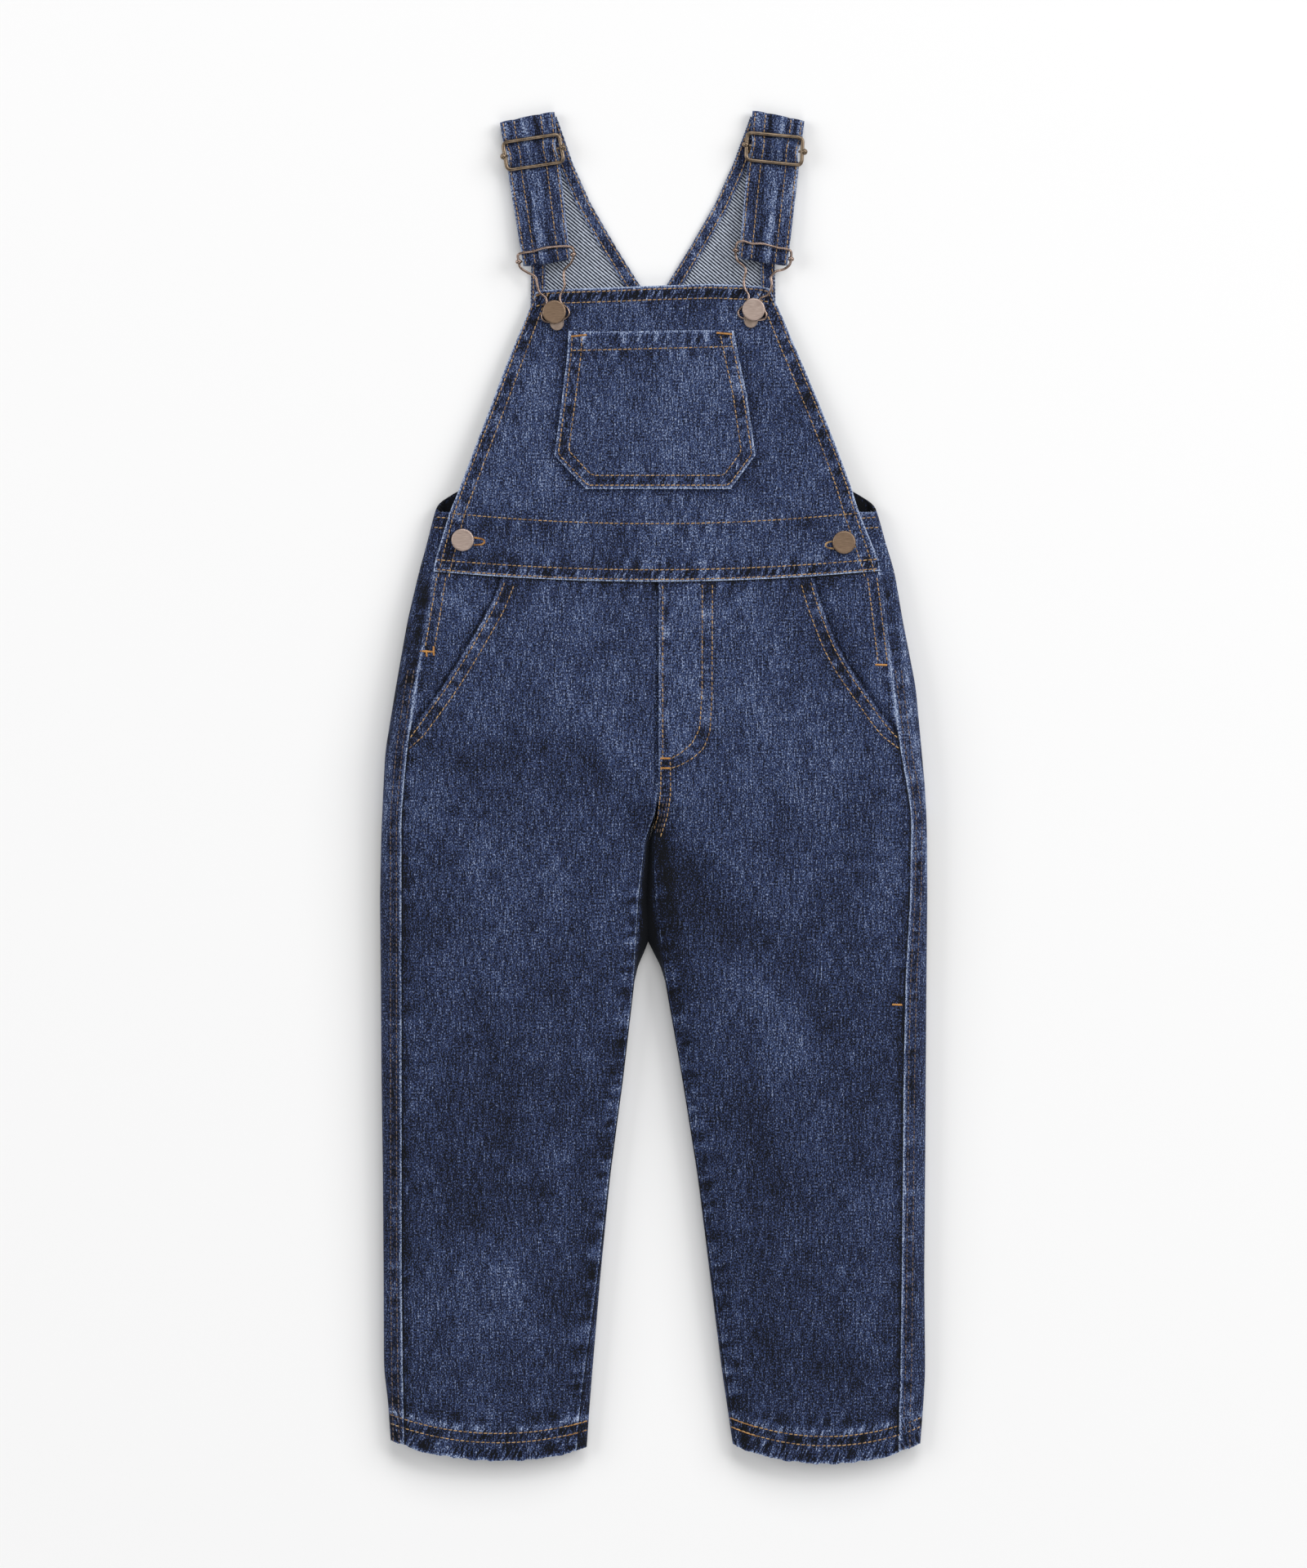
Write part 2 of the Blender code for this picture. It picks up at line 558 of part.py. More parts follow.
def back_piece(collection):
    """Back: waist part with buttoned underlaps round both sides, armholes, V neck and strap ends."""
    pieces = []
    for side in (-1, 1):
        half, name = HALVES[side], NAMES[side]
        y = np.array([WAIST + WAIST_DROP + 0.1, 141.0, 150.0, 159.0, 165.0, BAND_TOP])[:, None]
        low = side_height(half, y)
        edge = look(half, "outer", y)
        lapped = []
        for share in (1.0, 0.75, 0.5, 0.28, 0.1):
            out = edge - UNDERLAP * share
            drop = LAP * smooth((edge - out - 2.0) / 6.0)
            lapped.append((out, top(side, out, y, drop)))
        for share in (1.0, 0.66, 0.33, 0.0):
            turn = share * math.pi / 2
            lapped.append((edge - low * (1.0 - np.sin(turn)), low * (1.0 - np.cos(turn))))
        floor = [((edge - low) * share, 0.0 * y) for share in (0.75, 0.5, 0.25, 0.0)]
        columns = lapped + floor
        out = np.concatenate([c[0] + 0.0 * y for c in columns], axis=1)
        z = np.concatenate([c[1] + 0.0 * y for c in columns], axis=1)
        grid = np.stack(np.broadcast_arrays(side * out, y, z), axis=2)
        pieces.append((oriented(grid, side), 0.0 * z))
        tall = np.array([BAND_TOP, 171.0, 174.0, 178.0, 182.0, 191.0, 204.0, 222.0, 244.0, 268.0,
                         290.0, 300.0, 302.5, 308.0, 320.0, 337.0, 354.0, 371.0, 388.0,
                         403.0])[:, None]
        neck = look(NECK, name, tall, 0.0)
        arm = look(BACK, name, tall, 0.5)
        low = side_height(half, tall)
        edge = look(half, "outer", tall)
        bend = edge - low
        tilt = 4.0 * smooth((tall - 360.0) / 43.0)
        start = smooth((tall - BAND_TOP) / 14.0)
        outs = []
        for share in (1.0, 0.66, 0.33, 0.0):
            turned = edge - low * (1.0 - math.sin(share * math.pi / 2))
            even = arm - (1.0 - share) * 9.0
            outs.append(turned * (1.0 - start) + even * start)
        inner_from = outs[-1]
        for share in (0.75, 0.5, 0.25, 0.0):
            outs.append(neck + (inner_from - neck) * share)
        out = np.concatenate(outs, axis=1)
        rise = np.clip((out - bend) / low, 0.0, 1.0)
        z = low * (1.0 - np.sqrt(1.0 - rise ** 2)) * (1.0 - smooth((tall - 185.0) / 25.0))
        y = tall - tilt * (out - neck) / 33.0 + 0.0 * out
        grid = np.stack(np.broadcast_arrays(side * out, y, z), axis=2)
        pieces.append((oriented(grid, side), 0.0 * z))
    return add_cloth(collection, "back_piece", pieces)


def strap_grid(side, columns):
    """Points of the strap's middle surface, from its seam over the shoulder fold to its end."""
    a, b = STRAP_TOP[side], STRAP_LOW[side]
    share = np.linspace(0.0, 1.0, columns)[None, :]
    t = np.array([row.t for row in STRAP])[:, None]
    z = np.array([row.z for row in STRAP])[:, None]
    pinch = PINCH * np.exp(-((t - 0.225) / 0.07) ** 2) * (z > 5.0)
    t = t - SLIDE[side] * np.exp(-((t - 0.225) / 0.12) ** 2)
    outer_x = a.outer_x + (b.outer_x - a.outer_x) * t
    outer_y = a.outer_y + (b.outer_y - a.outer_y) * t
    inner_x = a.inner_x + (b.inner_x - a.inner_x) * t
    inner_y = a.inner_y + (b.inner_y - a.inner_y) * t
    x = outer_x + (inner_x - outer_x) * share
    y = outer_y + (inner_y - outer_y) * share
    x = x + pinch * (2.0 * share - 1.0)
    return np.stack(np.broadcast_arrays(side * x, y, z), axis=2)


def strap(collection, side):
    """Strap folded over the shoulder, down through the slider, round the hook's bar and up."""
    grid = oriented(strap_grid(side, 5), side)
    half = STRAP_CLOTH / 2
    name = f"strap_{NAMES[side]}"
    return add_cloth(collection, name, [(grid, 0.0 * grid[:, :, 0])], under=half, over=half)


def rounded(points, radius, steps):
    """A closed path with each corner rounded."""
    path = []
    for i, point in enumerate(points):
        before, after = points[i - 1], points[(i + 1) % len(points)]
        enter = point + (before - point) / np.linalg.norm(before - point) * radius
        leave = point + (after - point) / np.linalg.norm(after - point) * radius
        for k in range(steps + 1):
            t = k / steps
            path.append((1 - t) ** 2 * enter + 2 * t * (1 - t) * point + t * t * leave)
    return path


def softened(points, per):
    """A closed path through the points, with `per` steps between two of them."""
    path, count = [], len(points)
    for i in range(count):
        a, b, c, d = (points[(i + k) % count] for k in (-1, 0, 1, 2))
        for k in range(per):
            t = k / per
            path.append(0.5 * (2 * b + (c - a) * t + (2 * a - 5 * b + 4 * c - d) * t * t
                               + (3 * b - a - 3 * c + d) * t ** 3))
    return path


def ring_points(centre, along, radius, sides):
    """Points of a circle round a path."""
    along = along / np.linalg.norm(along)
    flat = np.cross(along, (0.0, 0.0, 1.0))
    flat = flat / max(np.linalg.norm(flat), 1e-6)
    up = np.cross(flat, along)
    turns = [2 * math.pi * k / sides for k in range(sides)]
    return [centre + radius * (math.cos(t) * flat + math.sin(t) * up) for t in turns]


def wire_faces(rings, sides, closed):
    """Faces of a tube made of rings, with ends filled when it is open."""
    faces = []
    for i in range(rings if closed else rings - 1):
        for k in range(sides):
            a, b = i * sides, (i + 1) % rings * sides
            n = (k + 1) % sides
            faces.append((a + k, a + n, b + n, b + k))
    if not closed:
        faces.append(tuple(reversed(range(sides))))
        faces.append(tuple(range((rings - 1) * sides, rings * sides)))
    return faces


def fitting(collection, cutters, name, path, wire, bar, side, sides):
    """A wire frame and its riveted cross bar as one body."""
    points = []
    for i, point in enumerate(path):
        along = path[(i + 1) % len(path)] - path[i - 1]
        points += ring_points(point, along, wire, sides)
    frame = add_node(collection, name, points, wire_faces(len(path), sides, True), BRASS)
    start = np.array([side * bar.outer_x, bar.outer_y, bar.z])
    end = np.array([side * bar.inner_x, bar.inner_y, bar.z])
    length = np.linalg.norm(end - start)
    places = [(0.0, 0.45), (0.3, 0.9), (0.9, 1.0), (1.7, 0.9), (2.0, None)]
    shape = [(d, bar.head * share if share else bar.radius) for d, share in places]
    shape += [(length - d, r) for d, r in reversed(shape)]
    points = []
    for distance, radius in shape:
        points += ring_points(start + (end - start) * distance / length, end - start, radius, sides)
    rod = add_node(cutters, f"{name}_bar", points, wire_faces(len(shape), sides, False), BRASS)
    rod.display_type = "WIRE"
    rod.hide_render = True
    union = frame.modifiers.new("bar", "BOOLEAN")
    union.operation = "UNION"
    union.solver = "EXACT"
    union.object = rod
    return frame


def slider(collection, cutters, side):
    """Wire slider: a rounded rectangle over the strap with its bar under it."""
    corners = [np.array([side * p.x, p.y, p.z]) for p in SLIDER[side]]
    path = rounded(corners, 3.4, 4)
    name = f"slider_{NAMES[side]}"
    return fitting(collection, cutters, name, path, SLIDER_WIRE, SLIDER_BAR[side], side, 8)


def hook(collection, cutters, side):
    """Wire hook: from the strap's fold, through its neck, round under the tack button."""
    points = [np.array([side * p.x, p.y, p.z]) for p in HOOK[side]]
    path = softened(points, 2)
    name = f"hook_{NAMES[side]}"
    return fitting(collection, cutters, name, path, HOOK_WIRE, HOOK_BAR[side], side, 6)


def tack(collection, name, side, place, height):
    """Tack button: a flat cap with a rounded rim on its neck."""
    sides = 20
    points = [(side * place.x, place.y, height)]
    rings = [Ring(NECK_SHARE, 0.0)] + [Ring(r.share, r.z + place.neck) for r in CAP]
    for ring in rings:
        for k in range(sides):
            turn = 2 * math.pi * k / sides
            points.append((side * place.x + place.cap * ring.share * math.cos(turn),
                           place.y + place.cap * ring.share * math.sin(turn), height + ring.z))
    points.append((side * place.x, place.y, height + rings[-1].z))
    faces = []
    for k in range(sides):
        n = (k + 1) % sides
        faces.append((0, 1 + n, 1 + k))
        for i in range(len(rings) - 1):
            a, b = 1 + i * sides, 1 + (i + 1) * sides
            faces.append((a + k, a + n, b + n, b + k))
        last = 1 + (len(rings) - 1) * sides
        faces.append((last + k, last + n, len(points) - 1))
    return add_node(collection, name, points, faces, BRASS)


def tongue(collection, side, height):
    """Flat stop with a round end that shows below the button, on the hook's wire."""
    place = BIB_TACK[side]
    start = place.y - NECK_SHARE * place.cap - GAP
    outline = [(-TONGUE_HALF, start), (TONGUE_HALF, start)]
    for k in range(9):
        turn = math.pi * k / 8
        outline.append((TONGUE_HALF * math.cos(turn),
                        start - TONGUE_LONG + TONGUE_HALF * (1.0 - math.sin(turn))))
    count = len(outline)
    points = [(side * place.x + x, y, z) for z in (height, height + TONGUE_THICK) for x, y in outline]
    faces = [tuple(range(count)), tuple(reversed(range(count, 2 * count)))]
    for k in range(count):
        n = (k + 1) % count
        faces.append((n, k, k + count, n + count))
    return add_node(collection, f"hook_tongue_{NAMES[side]}", points, faces, BRASS)


def main():
    """Build every piece of the dungarees."""
    for old in list(bpy.data.objects):
        bpy.data.objects.remove(old, do_unlink=True)
    parts = collection_of("denim_dungarees")
    cutters = collection_of("cutters", hidden=True)
    for side in (-1, 1):
        name = NAMES[side]
        front_leg(parts, side)
        back_leg(parts, side)
        hip_side(parts, side)
        strap(parts, side)
        slider(parts, cutters, side)
        hook(parts, cutters, side)
        tongue(parts, side, HOOK_UNDER + HOOK_WIRE + 0.15)
        for place, where in ((BIB_TACK[side], "bib"), (WAIST_TACK[side], "waist")):
            height = float(top(side, place.x, place.y)) + 2.0 * GAP
            tack(parts, f"{where}_button_{name}", side, place, height)
    bib(parts)
    patch_pocket(parts)
    back_piece(parts)


main()
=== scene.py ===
"""Looks of a child's denim bib-and-brace dungarees laid flat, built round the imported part.

Sizes are in millimetres and are turned into metres in one place. Each half is written as
distances out from the centre line: Side.LEFT is the half at -X and Side.RIGHT the half at +X.
"""
import logging
import math
from dataclasses import dataclass, field
from enum import Enum
from typing import Optional, Sequence

import bpy
import numpy as np
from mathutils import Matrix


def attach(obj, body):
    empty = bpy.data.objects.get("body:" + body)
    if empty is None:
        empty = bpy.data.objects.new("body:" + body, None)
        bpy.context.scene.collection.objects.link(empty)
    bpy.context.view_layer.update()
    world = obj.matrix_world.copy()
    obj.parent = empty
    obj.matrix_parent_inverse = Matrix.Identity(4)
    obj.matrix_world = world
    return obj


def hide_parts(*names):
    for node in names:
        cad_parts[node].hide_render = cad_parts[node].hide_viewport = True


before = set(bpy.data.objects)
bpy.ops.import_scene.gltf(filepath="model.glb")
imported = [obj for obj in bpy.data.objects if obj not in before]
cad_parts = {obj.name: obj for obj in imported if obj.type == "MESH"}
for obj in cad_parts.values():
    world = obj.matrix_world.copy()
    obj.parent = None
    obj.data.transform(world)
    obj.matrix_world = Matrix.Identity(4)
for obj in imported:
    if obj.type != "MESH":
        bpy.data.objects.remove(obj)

logging.basicConfig(level=logging.INFO, format="%(message)s")
LOG = logging.getLogger("dungarees")

MM = 0.001
Array = np.ndarray


class Side(Enum):
    """Which half of the garment, seen in the photo."""

    LEFT = -1
    RIGHT = 1


class Thread(Enum):
    """Which thread a row is sewn with."""

    TOPSTITCH = "topstitch"
    DULL = "dull_topstitch"
    BAR = "bar_tack"


def smooth(t: Array) -> Array:
    """Ease from 0 to 1.

    Args:
        t: values, clipped to 0 to 1.

    Returns:
        The eased values, level at both ends.
    """
    t = np.clip(t, 0.0, 1.0)
    return t * t * (3.0 - 2.0 * t)


def lattice(ix: Array, iy: Array, seed: int) -> Array:
    """Random value of a lattice point.

    Args:
        ix: whole x of the point.
        iy: whole y of the point.
        seed: which lattice.

    Returns:
        Values from 0 to 1 that are the same on every run.
    """
    value = np.sin(ix * 127.1 + iy * 311.7 + seed * 74.7) * 43758.5453
    return value - np.floor(value)


def noise(x: Array, y: Array, seed: int = 0) -> Array:
    """Smooth noise with a grain of one unit.

    Args:
        x: first coordinate.
        y: second coordinate.
        seed: which noise.

    Returns:
        Values from -1 to 1.
    """
    x, y = np.broadcast_arrays(np.asarray(x, float), np.asarray(y, float))
    ix, iy = np.floor(x), np.floor(y)
    fx, fy = smooth(x - ix), smooth(y - iy)
    low = lattice(ix, iy, seed) * (1 - fx) + lattice(ix + 1, iy, seed) * fx
    high = lattice(ix, iy + 1, seed) * (1 - fx) + lattice(ix + 1, iy + 1, seed) * fx
    return 2.0 * (low * (1 - fy) + high * fy) - 1.0


@dataclass(frozen=True)
class Half:
    """One section across a half: where its edges stand and how high it is."""

    y: float
    outer: float
    outseam: float
    inner: float
    inseam_in: float
    crown: float


@dataclass(frozen=True)
class Edge:
    """Where an edge stands from the centre line, on the left and on the right."""

    y: float
    left: float
    right: float


@dataclass(frozen=True)
class Fold:
    """A soft trough or ridge laid across the cloth."""

    x: float
    y: float
    length: float
    width: float
    depth: float
    turn: float


@dataclass(frozen=True)
class Seam:
    """A sewn line that draws the cloth up into small puckers."""

    points: Sequence
    reach: float
    ripple: float
    pitch: float
    ridge: float = 0.0
    wear: float = 0.5
    slant: float = 1.0
    dye: float = 0.3
    rope: float = 0.0


LEFT = (
    Half(310.0, 84.0, 82.0, -3.2, 0.6, 7.0),
    Half(168.5, 134.0, 126.0, -3.2, 0.6, 17.0),
    Half(150.0, 138.5, 130.0, -3.2, 0.6, 18.5),
    Half(132.0, 143.5, 133.5, -3.2, 0.6, 20.0),
    Half(102.0, 150.5, 138.0, -3.2, 0.6, 23.0),
    Half(62.0, 157.5, 145.0, -3.2, 0.6, 26.0),
    Half(22.0, 164.0, 150.5, -3.2, 0.6, 28.0),
    Half(0.0, 165.2, 152.5, -3.2, 0.6, 28.0),
    Half(-18.0, 166.0, 154.0, -1.4, 0.6, 27.0),
    Half(-29.0, 166.5, 154.0, 3.9, 0.6, 26.5),
    Half(-67.0, 167.3, 154.0, 8.6, 0.6, 26.0),
    Half(-118.0, 166.8, 154.0, 11.5, 0.6, 25.0),
    Half(-178.0, 166.4, 154.0, 18.5, 0.6, 24.0),
    Half(-238.0, 165.6, 154.0, 26.5, 0.8, 23.0),
    Half(-298.0, 165.2, 154.0, 32.5, 1.6, 22.0),
    Half(-358.0, 165.0, 153.4, 37.6, 5.0, 20.0),
    Half(-378.0, 162.5, 153.0, 39.2, 6.0, 18.5),
    Half(-416.0, 160.0, 152.5, 41.8, 6.2, 16.0),
)
RIGHT = (
    Half(310.0, 83.0, 81.0, 3.2, 0.6, 7.0),
    Half(168.5, 137.0, 128.0, 3.2, 0.6, 17.0),
    Half(150.0, 142.0, 132.0, 3.2, 0.6, 18.5),
    Half(132.0, 147.5, 137.5, 3.2, 0.6, 20.0),
    Half(102.0, 152.5, 141.2, 3.2, 0.6, 23.0),
    Half(62.0, 160.3, 145.8, 3.2, 0.6, 26.0),
    Half(22.0, 164.0, 150.8, 3.2, 0.6, 28.0),
    Half(0.0, 166.0, 155.0, 3.2, 0.6, 28.0),
    Half(-18.0, 167.0, 157.6, 2.0, 0.6, 27.0),
    Half(-29.0, 167.3, 157.3, -0.4, 0.6, 26.5),
    Half(-67.0, 167.5, 156.8, 0.0, 0.6, 26.0),
    Half(-118.0, 167.0, 154.0, 7.0, 0.6, 25.0),
    Half(-178.0, 166.6, 152.8, 17.5, 0.6, 24.0),
    Half(-238.0, 166.2, 152.3, 27.0, 0.8, 23.0),
    Half(-298.0, 165.7, 151.7, 34.5, 1.2, 22.0),
    Half(-358.0, 166.3, 151.0, 42.0, 2.0, 20.0),
    Half(-378.0, 165.2, 150.2, 45.0, 2.2, 18.5),
    Half(-416.0, 162.3, 150.2, 50.5, 2.4, 16.0),
)
FOLDS = (
    Fold(-88.0, 18.0, 42.0, 11.0, -2.4, 14.0),
    Fold(-30.0, 2.0, 46.0, 9.0, -2.2, -52.0),
    Fold(-48.0, 40.0, 40.0, 14.0, 1.4, -40.0),
    Fold(-117.0, -16.0, 20.0, 3.0, -1.4, -4.0),
    Fold(119.0, -43.5, 22.0, 3.0, -1.3, -3.0),
    Fold(36.0, -72.0, 58.0, 11.0, -2.2, -52.0),
    Fold(62.0, -52.0, 50.0, 13.0, 1.5, -44.0),
    Fold(84.0, -160.0, 85.0, 15.0, 1.8, -68.0),
    Fold(-104.0, -170.0, 78.0, 14.0, -1.9, -77.0),
    Fold(-66.0, -246.0, 36.0, 11.0, -1.8, 34.0),
    Fold(-100.0, -298.0, 30.0, 24.0, 1.8, 8.0),
    Fold(66.0, -222.0, 44.0, 12.0, -2.0, -62.0),
    Fold(104.0, -352.0, 40.0, 12.0, -1.7, -20.0),
    Fold(-92.0, 158.0, 34.0, 8.0, -1.4, -12.0),
    Fold(28.0, 232.0, 60.0, 20.0, 1.0, 70.0),
    Fold(-119.0, 119.0, 8.0, 5.0, -1.2, 24.0),
    Fold(-101.0, 114.0, 12.0, 3.6, 0.8, -58.0),
    Fold(123.0, 118.5, 8.0, 5.0, -1.2, -24.0),
    Fold(104.0, 113.0, 12.0, 3.6, 0.8, 60.0),
)
SLANT = (
    Edge(131.0, 90.5, 96.3),
    Edge(111.0, 98.4, 101.9),
    Edge(88.0, 111.4, 110.7),
    Edge(74.0, 119.8, 118.2),
    Edge(60.0, 128.8, 127.9),
    Edge(42.0, 142.0, 140.6),
    Edge(31.0, 150.3, 150.0),
)
BIB = (
    Edge(125.0, 134.6, 138.6),
    Edge(132.0, 133.5, 137.5),
    Edge(167.5, 124.5, 125.5),
    Edge(184.0, 118.2, 120.8),
    Edge(208.0, 109.2, 112.0),
    Edge(235.0, 98.9, 101.3),
    Edge(272.0, 85.2, 85.8),
    Edge(290.0, 78.5, 78.6),
    Edge(303.0, 73.4, 72.6),
    Edge(310.0, 71.4, 70.0),
)
PATCH = (
    Edge(182.3, 41.2, 47.0),
    Edge(203.0, 60.5, 62.3),
    Edge(241.0, 55.5, 56.8),
    Edge(266.0, 52.5, 51.5),
    Edge(279.5, 52.0, 49.0),
)
BACK = (
    Edge(168.5, 134.0, 138.4),
    Edge(173.5, 130.0, 132.0),
    Edge(178.0, 124.5, 126.5),
    Edge(182.0, 119.0, 121.0),
    Edge(200.0, 103.0, 104.0),
    Edge(225.0, 89.5, 89.5),
    Edge(255.0, 80.0, 79.5),
    Edge(285.0, 75.6, 75.0),
    Edge(320.0, 75.0, 74.4),
    Edge(350.0, 78.6, 77.6),
    Edge(385.0, 87.0, 85.0),
    Edge(412.0, 92.6, 91.0),
)
NECK = (
    Edge(300.0, 0.0, 0.0),
    Edge(302.5, 2.8, 2.8),
    Edge(308.0, 8.4, 8.0),
    Edge(332.0, 23.4, 22.8),
    Edge(358.5, 38.7, 38.0),
    Edge(382.0, 49.2, 48.6),
    Edge(412.0, 59.6, 59.6),
)


@dataclass(frozen=True)
class LaidForm:
    """The garment as it lies: one height for every place, the same as the part's."""

    cloth: float = 1.2
    lap: float = 2.2
    top_round: float = 46.0
    back_wrap: float = 0.45
    waist: float = 125.4
    waist_drop: float = 6.5
    waist_half: float = 135.0
    hem_line: float = -402.0
    hem_bow: tuple = (9.5, 11.5)
    hem_tilt: tuple = (2.0, 0.0)
    band_top: float = 168.5
    crotch_to: float = -27.0

    def look(self, rows: Sequence, name: str, y: Array, blur: float = 6.0) -> Array:
        """Read a column of a table.

        Args:
            rows: the table.
            name: the column.
            y: where to read it.
            blur: how far its corners are softened.

        Returns:
            The values at y.
        """
        rows = sorted(rows, key=lambda row: row.y)
        ys = [row.y for row in rows]
        values = [getattr(row, name) for row in rows]
        steps = (-1.0, -0.5, 0.0, 0.5, 1.0)
        return sum(np.interp(y + step * blur, ys, values) for step in steps) / len(steps)

    def half(self, side: Side, name: str, y: Array) -> Array:
        """Read a column of this side's sections."""
        return self.look(LEFT if side is Side.LEFT else RIGHT, name, y)

    def edge(self, rows: Sequence, side: Side, y: Array, blur: float = 0.5) -> Array:
        """Read this side's column of an edge table."""
        return self.look(rows, side.name.lower(), y, blur)

    def folds(self, x: Array, y: Array) -> Array:
        """Height of the largest folds."""
        total = np.zeros(np.broadcast(x, y).shape)
        for fold in FOLDS:
            turn = math.radians(fold.turn)
            along = (x - fold.x) * math.cos(turn) + (y - fold.y) * math.sin(turn)
            across = (y - fold.y) * math.cos(turn) - (x - fold.x) * math.sin(turn)
            total += fold.depth * np.exp(-(along / fold.length) ** 2 - (across / fold.width) ** 2)
        return total

    def closing(self, y: Array) -> Array:
        """0 where the halves are one trunk and 1 where each is a closed leg."""
        return smooth(y / self.crotch_to)

    def low(self, side: Side, y: Array) -> Array:
        """Height of the side's outermost line."""
        return self.back_wrap * self.half(side, "crown", y)

    def lift(self, side: Side, out: Array, y: Array) -> Array:
        """How much of the crown's height is reached here, 0 at the side to 1 inside."""
        edge, start = self.half(side, "outer", y), self.half(side, "inner", y)
        first = self.closing(y) * math.pi / 2
        outer = np.sqrt(1.0 - (1.0 - np.clip((edge - out) / self.top_round, 0.0, 1.0)) ** 2)
        turn = np.sin(first) - np.clip(out - start, 0.0, None) / self.top_round
        return outer * np.sqrt(1.0 - np.clip(turn, 0.0, 1.0) ** 2)

    def top(self, side: Side, out: Array, y: Array, drop: Array = 0.0) -> Array:
        """Height of the upper face.

        Args:
            side: which half.
            out: distance out from the centre line.
            y: place along the garment.
            drop: how far this piece lies under the one that laps it.

        Returns:
            The height above the floor.
        """
        low, high = self.low(side, y), self.half(side, "crown", y)
        lift = self.lift(side, out, y)
        rise = high - low + self.folds(side.value * out, y)
        return low + rise * lift - drop * np.clip(lift * 3.0, 0.0, 1.0)

    def at(self, x: Array, y: Array, drop: Array = 0.0) -> Array:
        """Height of the upper face at x, on whichever half it is."""
        left, right = self.top(Side.LEFT, -x, y, drop), self.top(Side.RIGHT, x, y, drop)
        return np.where(x < 0.0, left, right)

    def waist_at(self, out: Array) -> Array:
        """The waist seam's y."""
        return self.waist + self.waist_drop * (out / self.waist_half) ** 2

    def sink(self, side: Side, out: Array, y: Array) -> Array:
        """How far a row is bowed down near the hem."""
        inner, outer = self.half(side, "inner", y), self.half(side, "outer", y)
        place = np.clip((2.0 * out - inner - outer) / (outer - inner), -1.0, 1.0)
        which = 0 if side is Side.LEFT else 1
        fall = self.hem_bow[which] * (1.0 - place ** 2) - self.hem_tilt[which] * place
        return fall * smooth((y + 200.0) / (self.hem_line + 200.0))


FORM = LaidForm()


def offset_line(points: Array, distance: float, closed: bool = False) -> Array:
    """A line moved sideways.

    Args:
        points: the line.
        distance: how far, positive to its left.
        closed: whether its ends meet.

    Returns:
        The moved points, mitred at the corners.
    """
    points = np.asarray(points, float)
    before, after = np.roll(points, 1, 0), np.roll(points, -1, 0)
    if not closed:
        before[0], after[-1] = 2 * points[0] - points[1], 2 * points[-1] - points[-2]
    one, two = points - before, after - points
    one = np.stack([-one[:, 1], one[:, 0]], 1) / np.linalg.norm(one, axis=1)[:, None]
    two = np.stack([-two[:, 1], two[:, 0]], 1) / np.linalg.norm(two, axis=1)[:, None]
    mitre = one + two
    scale = 2.0 / np.maximum((mitre ** 2).sum(1), 0.6)
    return points + mitre * (scale * distance)[:, None]


def resampled(points: Array, step: float) -> Array:
    """Points at even steps along a line."""
    points = np.asarray(points, float)
    lengths = np.concatenate([[0.0], np.cumsum(np.linalg.norm(np.diff(points, axis=0), axis=1))])
    count = max(2, int(round(lengths[-1] / step)) + 1)
    at = np.linspace(0.0, lengths[-1], count)
    return np.stack([np.interp(at, lengths, points[:, k]) for k in range(points.shape[1])], 1)


